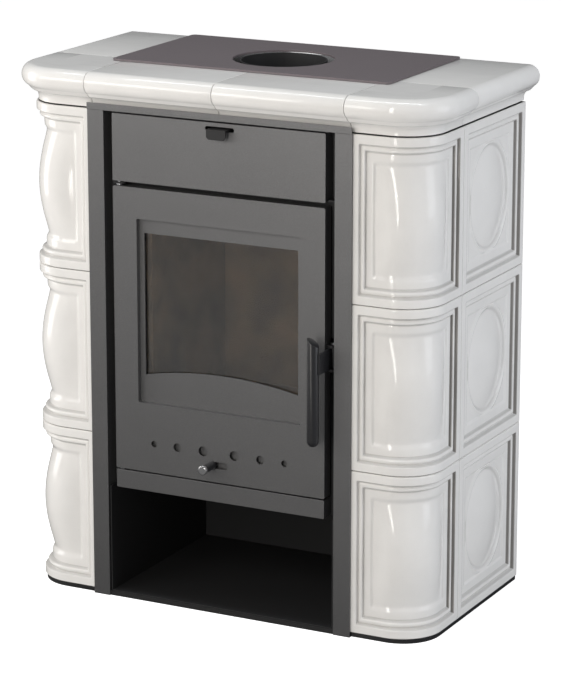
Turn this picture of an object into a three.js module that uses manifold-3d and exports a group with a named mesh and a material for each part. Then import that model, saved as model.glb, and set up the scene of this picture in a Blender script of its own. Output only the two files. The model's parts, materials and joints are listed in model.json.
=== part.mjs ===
// Tiled wood stove: a steel stove body with a glazed door, clad in relief tiles that stand in
// three tiers and carry a bullnose cornice.
// Millimetres, +Z up, the front faces -Y. The drawing planes start at the front face of the
// posts (y = 0), the middle of the stove (x = 0) and the floor (z = 0). At the end the whole
// group is shifted along Y, so that the origin is the middle of the footprint.

import * as THREE from 'three';
import { mergeVertices } from 'three/addons/utils/BufferGeometryUtils.js';
import Module from 'manifold-3d';

const wasm = await Module();
wasm.setup();

// ---------------------------------------------------------------- driving dimensions

const seat = 0.3;                 // clearance where one piece rests on another
const sheet = 2;                  // folded steel sheet
const plate = 3;                  // flat steel plate

// tiled body
const bodyHalfWidth = 380.5;      // side face of the tiles
const tileFrontY = 4;             // front face of the tiles, just behind the posts' flanges
const bodyRearY = 400;            // rear edges of the tiles and of the cornice
const cornerLeg = 139.5;          // length of a corner tile along each wall
const cornerRadius = 72;          // rounded front corners
const trayHeight = 8;             // floor plate
const trayInset = 3;              // floor plate, behind the faces of the tiles
const tileTopZ = 855.6;
const tierCount = 3;
const tileJoint = 0.8;            // joint between neighbouring tiles
const tileDepth = 45;             // from the tile's face to the back of its rim
const tileRim = 12;               // wall of the hollow back
const tilePocketDepth = 27;       // from the face to the floor of the hollow back

// relief of a tile: widths from the edge inwards, and how deep the face lies after each
const arris = 2.5;
const borderWidth = 15;
const coveWidth = 5;
const coveDepth = 4.9;
const filletWidth = 7;
const filletDepth = 6;
const beadWidth = 2.5;
const beadDepth = 8.2;
const bandWidth = 15;
const bandDepth = 9.2;
const creaseWidth = 4;
const creaseDepth = 12.8;         // edge of a corner tile's panel
const panelDepth = 11.4;          // edge of a side tile's panel
const barrelRise = 11.4;          // rise of the barrel panel of a corner tile
const barrelRows = 8;
const cornerSteps = 6;            // flats that stand for the quarter round
const ovalMargin = 3;             // from the oval boss to the panel's edge
const ovalGrooveWidth = 2.5;      // groove at the foot of the oval boss
const ovalFootDepth = 13.6;
const ovalRise = 11.4;
const ovalSides = 24;

// cornice
const footRise = 2.4;             // from the top of the tiles to the upright face
const faceHeight = 4;             // upright face
const coveHeight = 13.5;
const stepHeight = 2;             // small step under the bullnose
const noseHeight = 42.6;          // from the step to the top
const corniceFootZ = tileTopZ + footRise;
const coveBottomZ = corniceFootZ + faceHeight;
const coveTopZ = coveBottomZ + coveHeight;
const stepZ = coveTopZ + stepHeight;
const corniceTopZ = stepZ + noseHeight;
const corniceSlab = 14;           // thickness of the flat part
const corniceInnerFront = 122;    // inner edge of the front pieces, measured along Y
const corniceSideWidth = 134.5;   // side pieces, from the tiles' face to their inner edge
const corniceInnerSide = bodyHalfWidth - corniceSideWidth;
const noseRadius = 19.6;
const noseCentreOut = 5;          // centre of the bullnose, outward from the tile face
const noseTurn = 150;             // degrees that the bullnose turns from its top
const noseSteps = 9;
const noseRingDepth = 40;         // how far in the rounded corner's moulding is swept
const stepOut = 9;
const coveTopOut = 6.5;
const coveSteps = 4;
const corniceFaceOut = -4;        // upright face under the cove
const footOuterOut = -8;          // the foot that the cornice stands on
const footInnerOut = -18;

// posts, rail and front panels
const cornerJointX = bodyHalfWidth - cornerLeg;
const postLap = 6;                // the flange covers this much of the corner tiles
const postWidth = 31;
const postOuterX = cornerJointX + postLap;
const postInnerX = postOuterX - postWidth;
const postTopZ = tileTopZ - seat;
const postReturn = 45;
const postLip = 16;
const railFrontY = -2;
const railRise = 11.8;            // front leg of the rail, above the tiles
const railTopZ = tileTopZ + railRise;
const railShelf = 1.8;            // thickness of the shelf
const railShelfGap = 1;           // from the end of the shelf to the corner tile
const panelTabGap = 1.3;          // from the upper panel to the brackets beside it
const panelTabFrontY = 6;
const panelSideGap = 16.8;        // from the post to the upper panel
const panelTopGap = 2.9;          // under the rail
const panelHeight = 114.5;
const panelHalfWidth = postInnerX - panelSideGap;
const panelTopZ = tileTopZ - panelTopGap;
const panelBottomZ = panelTopZ - panelHeight;
const bayCeilingZ = 200.3;        // ceiling of the log store
const apronSideGap = 17.4;
const apronHeight = 32.1;
const apronHalfWidth = postInnerX - apronSideGap;
const apronBottomZ = bayCeilingZ + seat;
const apronTopZ = apronBottomZ + apronHeight;

// log store under the firebox
const bayWallInset = 4;           // from the post's inner edge
const bayWallX = postInnerX - bayWallInset;
const bayFrontY = 3;
const bayRearY = 343;

// outline of the door
const doorSideGap = 17;           // from the post to the door
const apronDoorGap = 2.8;
const panelDoorGap = 8.7;
const doorHalfWidth = postInnerX - doorSideGap;
const doorBottomZ = apronTopZ + apronDoorGap;
const doorTopZ = panelBottomZ - panelDoorGap;
const doorDepth = 22;
const doorCorner = 3;

// heights of the bar of the door handle and of its arm
const barRise = 98.5;             // from the bottom of the door
const barLength = 185;
const barBottomZ = doorBottomZ + barRise;
const barTopZ = barBottomZ + barLength;
const armRise = 124;              // from the bottom of the bar
const armHeight = 36;
const armBottomZ = barBottomZ + armRise;
const armTopZ = armBottomZ + armHeight;

// front plate between the posts, behind the door
const doorPlateGap = 4;           // room for the rope seal
const frontPlateY = doorDepth + doorPlateGap;
const railShelfY = frontPlateY - seat;
const plateBottomZ = bayCeilingZ + plate + seat;
const frontPlateTopGap = 3.6;     // under the rail
const frontPlateTopZ = tileTopZ - frontPlateTopGap;
const fireMouthMargin = 41;       // from the side of the door
const fireMouthTopMargin = 29.5;  // from the top of the door
const fireMouthHalf = doorHalfWidth - fireMouthMargin;
const fireMouthTopZ = doorTopZ - fireMouthTopMargin;
const keeperWidth = 2.5;          // strip beside the notch that carries the latch keeper
const keeperX = postInnerX - seat - keeperWidth;
const keeperDepth = 8;
const latchNotchWidth = 29.2;
const latchNotchMargin = 12;      // above and below the arm
const latchNotchX = keeperX - latchNotchWidth;
const latchNotchBottomZ = armBottomZ - latchNotchMargin;
const latchNotchTopZ = armTopZ + latchNotchMargin;
const mouthCorner = 12;

// firebox
const boxSideGap = 38;            // from the post's inner edge
const boxHalfWidth = postInnerX - boxSideGap;
const boxRearY = 330;
const boxTopGap = 55.6;           // under the top of the tiles
const boxTopZ = tileTopZ - boxTopGap;
const boxFloorRise = 50.4;        // above the firebox's feet
const boxFloorZ = plateBottomZ + boxFloorRise;
const boxWall = 4;
const ashHeight = 42;             // from the floor to the ledges
const ledgeZ = boxFloorZ + ashHeight;
const ledgeWidth = 24;
const ledgeThickness = 6;
const brick = 27;
const rearBrickThickness = 23.4;
const liningFrontGap = 7;         // from the front plate's face to the lining
const sideBrickGap = 7;           // from the front of the hearth to the side bricks
const brickFrontY = frontPlateY + liningFrontGap;
const sideBrickFrontY = brickFrontY + sideBrickGap;
const liningX = boxHalfWidth - boxWall - seat;
const liningRearY = boxRearY - boxWall - seat;
const backBrickY = liningRearY - rearBrickThickness;
const hearthHeight = 30;          // from the ledges
const brickFloorTopZ = ledgeZ + hearthHeight;
const smokeRoom = 155;            // from the bricks to the top of the firebox
const brickTopZ = boxTopZ - smokeRoom;
const fireMouthDrop = 20;         // the mouth reaches this far under the hearth
const fireMouthBottomZ = brickFloorTopZ - fireMouthDrop;
const ashMouthDrop = 2;
const ashMouthTopZ = ledgeZ - ashMouthDrop;
const grateHalfWidth = 75;
const grateDepth = 150;
const grateFrontY = 95;
const grateRearY = grateFrontY + grateDepth;
const grateBars = 9;
const grateThickness = 15.7;
const grateDrop = 18;             // rebate of the grate, under the hearth
const grateSeatZ = brickFloorTopZ - grateDrop;
const grateLip = 8;               // the rebate that the grate lies in
const grateRim = 6;
const baffleThickness = 12;
const baffleFrontY = 95;
const guardHeight = 40;
const guardTopZ = brickFloorTopZ + guardHeight;
const guardSlotPitch = 34;
const guardSideMargin = 33;
const guardSlots = 1 + Math.floor((2 * (liningX - guardSideMargin)) / guardSlotPitch);
const guardSlotHalf = 4;
const guardRim = 9;

// flue
const flueY = 240;
const flueOuterR = 75;
const flueWall = 2.5;
const flueRise = 1.9;             // above the cornice
const flueTopZ = corniceTopZ + flueRise;
const flueFlange = 17;
const flueSides = 40;

// top plate and the bright sheet under it
const topPlateLap = 15;           // over the inner edges of the cornice
const topPlateRearInset = 4;
const topPlateHalfWidth = corniceInnerSide + topPlateLap;
const topPlateFrontY = corniceInnerFront - topPlateLap;
const topPlateRearY = bodyRearY - topPlateRearInset;
const topPlateThickness = 3.7;
const topPlateHoleR = 88;
const topPlateCorner = 8;
const shieldLap = 16;             // under the side pieces of the cornice
const shieldThickness = 1.8;
const slabBottomZ = corniceTopZ - corniceSlab;
const shieldHalfWidth = corniceInnerSide + shieldLap;
const shieldTopZ = slabBottomZ - seat;
const shieldBottomZ = shieldTopZ - shieldThickness;
const shieldHoleR = 79;

// back panel
const lowVentZ = 120;
const highVentDrop = 20;          // under the top of the firebox
const ventRows = [lowVentZ, boxTopZ - highVentDrop];
const ventCount = 8;
const ventPitch = 62;
const ventWidth = 40;
const ventHeight = 10;

// window, seal and hinges of the door
const windowSideMargin = 44.7;    // from the edges of the door
const windowBottomMargin = 121.5;
const windowTopMargin = 53;
const windowHalfWidth = doorHalfWidth - windowSideMargin;
const windowBottomZ = doorBottomZ + windowBottomMargin;
const windowTopZ = doorTopZ - windowTopMargin;
const windowRecess = 10;
const windowLap = 6;              // the window frame reaches this far behind the door's edge
const glassLap = 7;
const frameSide = 9.3;            // width of the window frame that shows
const frameTop = 25.5;
const frameBottom = 47.5;
const glazedHalfWidth = windowHalfWidth - frameSide;
const glazedTopZ = windowTopZ - frameTop;
const archEndZ = windowBottomZ + frameBottom;
const archCrown = 15;
const glassThickness = 4;
const retainerSide = 15.7;        // beyond the window, beside, under and over it
const retainerUnder = 15;
const retainerOver = 15.5;
const retainerHalf = windowHalfWidth + retainerSide;
const retainerBottomZ = windowBottomZ - retainerUnder;
const retainerTopZ = windowTopZ + retainerOver;
const retainerLap = 4;
const sealInset = 22;             // centre line of the rope seal, from the edges of the door
const sealLowInset = 10.5;
const sealHighInset = 16.5;
const sealX = doorHalfWidth - sealInset;
const sealBottomZ = doorBottomZ + sealLowInset;
const sealTopZ = doorTopZ - sealHighInset;
const sealWidth = 9;
const sealCorner = 14;
const hingeInset = 8;             // from the edge of the door
const hingeX = hingeInset - doorHalfWidth;
const hingeY = 10;
const hingePinR = 4;
const pinEndGap = 0.8;            // from the upper pin to the panel
const hingePinLength = panelDoorGap - seat - pinEndGap;
const hingeCollar = 2.6;
const hingeCollarR = 6;
const hingeReach = 12;
const hingeChamfer = 4;
const pinClearance = 0.4;

// air controls
const airTravel = 21;
const airPlateMargin = 39;        // from the side of the door to the slider
const airPlateHalf = doorHalfWidth - airPlateMargin;
const airHoleRise = 51;           // from the bottom of the door
const airHoleZ = doorBottomZ + airHoleRise;
const airHolePattern = [[29.7, 8.8], [79.2, 7.75], [124.4, 5.8]];
const airHoles = airHolePattern.filter(([x, r]) => x + r + airTravel < airPlateHalf);
const airSlotHalf = 17.5;
const airSlotHeight = 12;
const airSlotRise = 30;
const airSlotZ = doorBottomZ + airSlotRise;
const airKnobX = -11;
const airRodR = 7;
const airStudR = 4.5;
const airCapR = 8.3;
const airCapLength = 4.7;
const airCapChamfer = 1.4;
const airKnobFrontY = -38;
const airShoulderY = -1;
const airPlateY = 8;
const airPlateUnder = 12.5;       // from the slot
const airPlateOver = 13.5;        // from the holes
const airPlateBottomZ = airSlotZ - airPlateUnder;
const airPlateTopZ = airHoleZ + airPlateOver;
const airGuideMargin = 14;        // from the side of the door
const airGuideHalf = doorHalfWidth - airGuideMargin;
const airOpeningUnder = 9;        // opening of the inner panel behind the slider
const airOpeningOver = 4;
const airOpeningBottomZ = airPlateBottomZ + airOpeningUnder;
const airOpeningTopZ = airPlateTopZ - airOpeningOver;
const guideLip = 4;
const tabSlotX = 5;
const tabSlotHalf = 27;
const tabSlotDrop = 10.2;         // from the top of the panel
const tabSlotZ = panelTopZ - tabSlotDrop;
const tabSlotHeight = 7.5;
const tabHalfWidth = 18;
const tabReach = 14;
const tabDrop = 17;
const tabChamfer = 4;
const secondaryHoleR = 7;
const secondaryHoleX = [-75, -25, 25, 75];
const secondaryHalf = 105;
const secondaryRise = 33.8;       // from the bottom of the panel
const secondaryZ = panelBottomZ + secondaryRise;
const secondaryHeight = 32;
const secondaryTravel = 8;
const secondaryGuideHalf = 140;

// door handle
const barInset = 5.5;             // from the side of the door
const barX = doorHalfWidth - barInset;
const barY = -32;
const barR = 10;
const barTopSlope = 35;           // degrees that the cut top leans
const pivotOut = 7;               // beyond the side of the door
const pivotX = doorHalfWidth + pivotOut;
const pivotY = 20;
const pivotR = 4;
const knuckleR = 6;
const armOffset = 1.8;            // from the pivot to the middle of the arm
const armX = pivotX - armOffset;
const armThickness = 4;
const hookReach = 5;
const hookTipX = pivotX + hookReach;
const hookGap = 1;                // behind the keeper
const hookY = frontPlateY + plate + keeperDepth + hookGap;
const lugThickness = 4;
const lugFrontY = 6;
const lugGap = 1;                 // in front of the front plate
const lugRearY = frontPlateY - lugGap;
const webThickness = 2;
const webRearY = 15.4;

// ash pan
const panHalfWidth = 106;
const ashMouthGap = 6;            // beside the ash pan
const ashMouthHalf = panHalfWidth + ashMouthGap;
const panFrontGap = 8;
const panFrontY = frontPlateY + panFrontGap;
const panRearY = 300;
const panHeight = 33;
const panWall = 1.6;
const panGripHalf = 30;
const panGripReach = 4;
const panGripDrop = 6;

// ---------------------------------------------------------------- shape helpers

// a merged, indexed copy that holds positions only
function bare(geometry) {
  const copy = geometry.clone();
  for (const name of Object.keys(copy.attributes)) {
    if (name !== 'position') copy.deleteAttribute(name);
  }
  return mergeVertices(copy, 1e-4);
}

function toSolid(geometry) {
  const merged = bare(geometry);
  return new wasm.Manifold(new wasm.Mesh({
    numProp: 3,
    vertProperties: new Float32Array(merged.attributes.position.array),
    triVerts: new Uint32Array(merged.index.array),
  }));
}

function toGeometry(solid) {
  const mesh = solid.getMesh();
  const geometry = new THREE.BufferGeometry();
  geometry.setAttribute('position', new THREE.BufferAttribute(new Float32Array(mesh.vertProperties), 3));
  geometry.setIndex(new THREE.BufferAttribute(new Uint32Array(mesh.triVerts), 1));
  return geometry;
}

function cut(base, ...tools) {
  return toGeometry(tools.reduce((solid, tool) => solid.subtract(toSolid(tool)), toSolid(base)));
}

function join(base, ...others) {
  return toGeometry(others.reduce((solid, other) => solid.add(toSolid(other)), toSolid(base)));
}

function box(x0, x1, y0, y1, z0, z1) {
  const geometry = new THREE.BoxGeometry(x1 - x0, y1 - y0, z1 - z0);
  return geometry.translate((x0 + x1) / 2, (y0 + y1) / 2, (z0 + z1) / 2);
}

// an upright round bar or drill
function rod(x, y, radius, z0, z1, sides = 24) {
  const geometry = new THREE.CylinderGeometry(radius, radius, z1 - z0, sides);
  return geometry.rotateX(Math.PI / 2).translate(x, y, (z0 + z1) / 2);
}

// a round bar or drill that runs front to back
function crossRod(x, z, radius, y0, y1, sides = 24) {
  const geometry = new THREE.CylinderGeometry(radius, radius, y1 - y0, sides);
  return geometry.translate(x, (y0 + y1) / 2, z);
}

// a solid turned about the Y axis from [radius, height] pairs
function turned(outline, sides) {
  return new THREE.LatheGeometry(outline.map(([r, y]) => new THREE.Vector2(r, y)), sides);
}

// a rounded rectangle drawn into a Shape or Path
function roundedRect(outline, x0, x1, y0, y1, r) {
  outline.moveTo(x0 + r, y0);
  outline.lineTo(x1 - r, y0);
  outline.absarc(x1 - r, y0 + r, r, -Math.PI / 2, 0, false);
  outline.lineTo(x1, y1 - r);
  outline.absarc(x1 - r, y1 - r, r, 0, Math.PI / 2, false);
  outline.lineTo(x0 + r, y1);
  outline.absarc(x0 + r, y1 - r, r, Math.PI / 2, Math.PI, false);
  outline.lineTo(x0, y0 + r);
  outline.absarc(x0 + r, y0 + r, r, Math.PI, 1.5 * Math.PI, false);
  return outline;
}

// a shape drawn in X and Z, thick along Y
function upright(shape, y0, y1, curveSegments = 4) {
  const geometry = new THREE.ExtrudeGeometry(shape, { depth: y1 - y0, bevelEnabled: false, curveSegments });
  return geometry.rotateX(Math.PI / 2).translate(0, y1, 0);
}

// a shape drawn in X and Y, thick along Z
function flat(shape, z0, z1, curveSegments = 4) {
  const geometry = new THREE.ExtrudeGeometry(shape, { depth: z1 - z0, bevelEnabled: false, curveSegments });
  return geometry.translate(0, 0, z0);
}

function polygon(points) {
  return new THREE.Shape(points.map(([x, y]) => new THREE.Vector2(x, y)));
}

// a closed mesh from vertex rows and triangles
function meshFrom(points, triangles) {
  const geometry = new THREE.BufferGeometry();
  geometry.setAttribute('position', new THREE.BufferAttribute(new Float32Array(points.flat()), 3));
  geometry.setIndex(triangles.flat());
  return geometry;
}

// ---------------------------------------------------------------- relief tiles

const floorSeatZ = trayHeight + seat;
const tierPitch = (tileTopZ - floorSeatZ + tileJoint) / tierCount;
const tileHeight = tierPitch - tileJoint;
const coveInset = borderWidth + coveWidth;
const filletInset = coveInset + filletWidth;
const beadInset = filletInset + beadWidth;
const bandInset = beadInset + bandWidth;
const panelInset = bandInset + creaseWidth;

// the nested frame, as [distance from the edge, depth], from the side wall to the panel
const frameProfile = [
  [0, arris],
  [arris, 0],
  [borderWidth, 0],
  [coveInset, coveDepth],
  [filletInset, filletDepth],
  [beadInset, beadDepth],
  [bandInset, bandDepth],
];

// the hollow back, from the floor of the pocket out to the side wall
const backProfile = [
  [tileRim, tilePocketDepth],
  [tileRim, tileDepth],
  [0, tileDepth],
];

// One loop of points round a tile, at one distance from its edge and one depth. It is kept as
// four sides, counter-clockwise seen from the front, that share their corner points.
function tileLoop(tile, inset, depth, rows = 1) {
  const across = tile.columns(inset);
  const low = inset;
  const high = tileHeight - inset;
  const bottom = across.map((s) => tile.add(s, low, depth));
  const top = across.map((s) => tile.add(s, high, depth)).reverse();
  const climb = (s, from, to) => Array.from({ length: rows - 1 }, (_, row) => (
    tile.add(s, from + ((to - from) * (row + 1)) / rows, depth)));
  const right = [bottom.at(-1), ...climb(across.at(-1), low, high), top[0]];
  const left = [top.at(-1), ...climb(across[0], high, low), bottom[0]];
  return [bottom, right, top, left];
}

// triangles between two lines of points that run the same way, the outer one on the right
function zip(triangles, outer, inner) {
  let i = 0;
  let j = 0;
  while (i + 1 < outer.length || j + 1 < inner.length) {
    const outerNext = (i + 1) / (outer.length - 1);
    const innerNext = (j + 1) / (inner.length - 1);
    if (j + 1 === inner.length || (i + 1 < outer.length && outerNext <= innerNext)) {
      triangles.push([outer[i], outer[i + 1], inner[j]]);
      i += 1;
    } else {
      triangles.push([outer[i], inner[j + 1], inner[j]]);
      j += 1;
    }
  }
}

function startTile(columns, place) {
  const points = [];
  return {
    points,
    triangles: [],
    columns,
    add: (s, z, depth) => points.push(place(s, z, depth)) - 1,
  };
}

// everything but the panel: the hollow back, the side walls and the nested frame
function frameTile(tile, creaseLoop) {
  const loops = [...backProfile, ...frameProfile].map(([inset, depth]) => tileLoop(tile, inset, depth));
  [...loops, creaseLoop].slice(1).forEach((inner, i) => {
    inner.forEach((side, k) => zip(tile.triangles, loops[i][k], side));
  });
  const [bottom, , top] = loops[0];
  zip(tile.triangles, [...top].reverse(), bottom);
}

// the line across a corner tile: flat, quarter round, flat
const cornerRun = cornerLeg - cornerRadius - tileJoint / 2;
const cornerArc = (cornerRadius * Math.PI) / 2;
const cornerLength = 2 * cornerRun + cornerArc;

function cornerColumns(inset) {
  const stops = Array.from({ length: cornerSteps + 1 }, (_, i) => cornerRun + (cornerArc * i) / cornerSteps);
  return [inset, ...stops, cornerLength - inset];
}

// Places a point of the unrolled corner tile. The corner where both faces would meet is the
// origin. A deeper line is the same line, moved straight back from both walls.
function cornerPlace(s, z, depth) {
  const centre = [-cornerRadius - depth, cornerRadius + depth];
  const end = cornerLeg - tileJoint / 2;
  if (s < cornerRun) {
    return [-end + (s * (centre[0] + end)) / cornerRun, depth, z];
  }
  if (s > cornerLength - cornerRun) {
    const share = (cornerLength - s) / cornerRun;
    return [-depth, end - share * (end - centre[1]), z];
  }
  const turn = (s - cornerRun) / cornerRadius;
  return [centre[0] + cornerRadius * Math.sin(turn), centre[1] - cornerRadius * Math.cos(turn), z];
}

// barrel panel: it rises from the crease along an arc upwards and a flatter curve across
function cornerTile() {
  const tile = startTile(cornerColumns, cornerPlace);
  const crease = tileLoop(tile, panelInset, creaseDepth, barrelRows);
  frameTile(tile, crease);
  const [bottom, right, top, left] = crease;
  const across = cornerColumns(panelInset);
  const rowAt = (row) => {
    if (row === 0) return bottom;
    if (row === barrelRows) return [...top].reverse();
    const v = (2 * row) / barrelRows - 1;
    const z = tileHeight / 2 + v * (tileHeight / 2 - panelInset);
    const inner = across.slice(1, -1).map((s) => {
      const u = (s - cornerLength / 2) / (cornerLength / 2 - panelInset);
      return tile.add(s, z, creaseDepth - barrelRise * (1 - u ** 4) * (1 - v ** 2));
    });
    return [left.at(-1 - row), ...inner, right[row]];
  };
  let lower = rowAt(0);
  for (let row = 1; row <= barrelRows; row += 1) {
    const upper = rowAt(row);
    zip(tile.triangles, lower, upper);
    lower = upper;
  }
  return meshFrom(tile.points, tile.triangles);
}

const sideLength = bodyRearY - tileFrontY - cornerLeg - tileJoint;

// oval boss: a ring of ellipses, from the groove at its foot up to its crown
function sideTile() {
  const tile = startTile((inset) => [inset, sideLength - inset], (s, z, depth) => [-depth, s, z]);
  const crease = tileLoop(tile, panelInset, panelDepth);
  frameTile(tile, crease);
  const reachS = sideLength / 2 - panelInset - ovalMargin;
  const reachZ = tileHeight / 2 - panelInset - ovalMargin;
  const ring = (inset, share, depth) => Array.from({ length: ovalSides }, (_, i) => {
    const turn = (2 * Math.PI * i) / ovalSides - Math.PI / 2;
    const s = sideLength / 2 + (reachS - inset) * share * Math.cos(turn);
    const z = tileHeight / 2 + (reachZ - inset) * share * Math.sin(turn);
    return tile.add(s, z, depth);
  });
  const closed = (line) => [...line, line[0]];
  const quarter = ovalSides / 4;
  const edge = ring(0, 1, panelDepth);
  crease.forEach((side, k) => {
    const arc = closed(edge).slice(k * quarter, (k + 1) * quarter + 1);
    tile.triangles.push([side[0], side[1], arc[0]]);
    arc.slice(1).forEach((next, i) => tile.triangles.push([side[1], next, arc[i]]));
  });
  let outer = ring(ovalGrooveWidth, 1, ovalFootDepth);
  zip(tile.triangles, closed(edge), closed(outer));
  for (const share of [0.85, 0.62, 0.34]) {
    const inner = ring(ovalGrooveWidth, share, ovalFootDepth - ovalRise * (1 - share ** 2));
    zip(tile.triangles, closed(outer), closed(inner));
    outer = inner;
  }
  const crown = tile.add(sideLength / 2, tileHeight / 2, ovalFootDepth - ovalRise);
  closed(outer).slice(1).forEach((next, i) => tile.triangles.push([outer[i], next, crown]));
  return meshFrom(tile.points, tile.triangles);
}

// ---------------------------------------------------------------- cornice

const railSeatZ = tileTopZ + railShelf;
const noseCentreZ = corniceTopZ - noseRadius;

// Section of the cornice as [outward from the tile face, height]: flat top, bullnose, small
// step, cove, upright face and foot. The back of the slab lies at backOut.
function corniceSection(backOut, footZ) {
  const nose = Array.from({ length: noseSteps + 1 }, (_, i) => {
    const turn = THREE.MathUtils.degToRad((noseTurn * i) / noseSteps);
    return [noseCentreOut + noseRadius * Math.sin(turn), noseCentreZ + noseRadius * Math.cos(turn)];
  });
  const cove = Array.from({ length: coveSteps + 1 }, (_, i) => {
    const turn = (Math.PI / 2) * (i / coveSteps);
    return [
      coveTopOut - (coveTopOut - corniceFaceOut) * Math.sin(turn),
      coveBottomZ + (coveTopZ - coveBottomZ) * Math.cos(turn),
    ];
  });
  return [
    [backOut, corniceTopZ],
    ...nose,
    [stepOut, stepZ],
    ...cove,
    [corniceFaceOut, corniceFootZ],
    [footOuterOut, corniceFootZ],
    [footOuterOut, footZ],
    [footInnerOut, footZ],
    [footInnerOut, slabBottomZ],
    [backOut, slabBottomZ],
  ].reverse();
}

// A section carried along a plan line. A station is [x, y, outward x, outward y], and the
// stations run counter-clockwise round the stove, seen from above.
function sweep(section, stations) {
  const count = section.length;
  const place = ([x, y, nx, ny]) => section.map(([out, z]) => [x + nx * out, y + ny * out, z]);
  const points = stations.flatMap(place);
  const triangles = [];
  for (let k = 0; k + 1 < stations.length; k += 1) {
    section.forEach((_, i) => {
      const next = (i + 1) % count;
      const [a, b, c, d] = [k * count + i, (k + 1) * count + i, (k + 1) * count + next, k * count + next];
      triangles.push([a, b, c], [a, c, d]);
    });
  }
  const contour = section.map(([out, z]) => new THREE.Vector2(out, z));
  const lastStart = (stations.length - 1) * count;
  THREE.ShapeUtils.triangulateShape(contour, []).forEach(([a, b, c]) => {
    triangles.push([a, b, c], [lastStart + a, lastStart + c, lastStart + b]);
  });
  return meshFrom(points, triangles);
}

const footOnTiles = tileTopZ + seat;
const footOnRail = railSeatZ + seat;
const cornerEnd = cornerLeg - tileJoint / 2;

// the origin is the corner where both tile faces would meet
function cornerCornice() {
  const turns = Array.from({ length: cornerSteps + 3 }, (_, i) => (Math.PI / 2) * (i / (cornerSteps + 2)));
  const stations = [
    [-cornerEnd, 0, 0, -1],
    ...turns.map((turn) => {
      const [nx, ny] = [Math.sin(turn), -Math.cos(turn)];
      return [-cornerRadius + cornerRadius * nx, cornerRadius + cornerRadius * ny, nx, ny];
    }),
    [0, cornerEnd, 1, 0],
  ];
  const ring = sweep(corniceSection(-noseRingDepth, footOnTiles), stations);
  const inset = noseRingDepth - arris;
  return join(ring, box(-cornerEnd, -inset, inset, cornerEnd, slabBottomZ, corniceTopZ));
}

function frontCornice() {
  const length = cornerJointX - tileJoint;
  const section = corniceSection(tileFrontY - corniceInnerFront, footOnRail);
  return sweep(section, [[0, 0, 0, -1], [length, 0, 0, -1]]);
}

function sideCornice() {
  const section = corniceSection(corniceInnerSide - bodyHalfWidth, footOnTiles);
  return sweep(section, [[0, 0, 1, 0], [0, sideLength, 1, 0]]);
}

// ---------------------------------------------------------------- sheet metal shell

// a folded pan: a front sheet at y = 0 with its four edges turned back
function foldedPan(halfWidth, z0, z1, corner, rearY, front) {
  const outer = roundedRect(new THREE.Shape(), -halfWidth, halfWidth, z0, z1, corner);
  const inner = roundedRect(
    new THREE.Shape(), sheet - halfWidth, halfWidth - sheet, z0 + sheet, z1 - sheet, corner / 2);
  return cut(upright(outer, 0, rearY), upright(inner, front, rearY + 1));
}

// floor plate: it follows the rounded corners, and comes forward between the posts' flanges
function floorPlate() {
  const side = bodyHalfWidth - trayInset;
  const front = tileFrontY + trayInset;
  const middle = sheet + seat;
  const r = cornerRadius - trayInset;
  const outline = new THREE.Shape();
  outline.moveTo(side, bodyRearY);
  outline.lineTo(-side, bodyRearY);
  outline.lineTo(-side, front + r);
  outline.absarc(-side + r, front + r, r, Math.PI, 1.5 * Math.PI, false);
  outline.lineTo(-postOuterX, front);
  outline.lineTo(-postOuterX, middle);
  outline.lineTo(postOuterX, middle);
  outline.lineTo(postOuterX, front);
  outline.absarc(side - r, front + r, r, -Math.PI / 2, 0, false);
  return flat(outline, 0, trayHeight, cornerSteps);
}

// post: flange in front of the tile's edge, return beside the door, lip at the back
function post(side) {
  const outline = polygon([
    [postInnerX, 0], [postOuterX, 0], [postOuterX, sheet], [postInnerX + sheet, sheet],
    [postInnerX + sheet, postReturn - sheet], [postInnerX + postLip, postReturn - sheet],
    [postInnerX + postLip, postReturn], [postInnerX, postReturn],
  ].map(([x, y]) => [side * x, y]));
  const overFloor = box(-postOuterX - 1, postOuterX + 1, sheet + 0.1, postReturn + 1, -1, floorSeatZ);
  return cut(flat(outline, 0, postTopZ), overFloor);
}

// angle rail over the posts and the panel: the front pieces of the cornice stand on its shelf
function topRail() {
  const leg = box(-postOuterX, postOuterX, railFrontY, railFrontY + sheet, tileTopZ, railTopZ);
  const half = cornerJointX - railShelfGap;
  return join(leg, box(-half, half, railFrontY, railShelfY, tileTopZ, railSeatZ));
}

// cutter for a slot with round ends in a front sheet
function longSlot(x, z, halfWidth, height, thickness) {
  const r = height / 2;
  const outline = new THREE.Shape();
  outline.absarc(x + halfWidth - r, z, r, -Math.PI / 2, Math.PI / 2, false);
  outline.absarc(x - halfWidth + r, z, r, Math.PI / 2, 1.5 * Math.PI, false);
  return upright(outline, -1, thickness + 1);
}

function upperPanel() {
  const panel = foldedPan(panelHalfWidth, panelBottomZ, panelTopZ, sheet, frontPlateY - seat, sheet);
  return cut(panel, longSlot(tabSlotX, tabSlotZ, tabSlotHalf, tabSlotHeight, sheet));
}

function apron() {
  const pan = foldedPan(apronHalfWidth, apronBottomZ, apronTopZ, sheet, frontPlateY - seat, sheet);
  const reach = hingeReach + sheet;
  const pinEndZ = doorBottomZ - seat - hingePinLength;
  return cut(pan, box(hingeX - reach, hingeX + reach, plate, frontPlateY, pinEndZ - seat, apronTopZ + 1));
}

function roundHole(x, y, r) {
  return new THREE.Path().absarc(x, y, r, 0, 2 * Math.PI, false);
}

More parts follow.
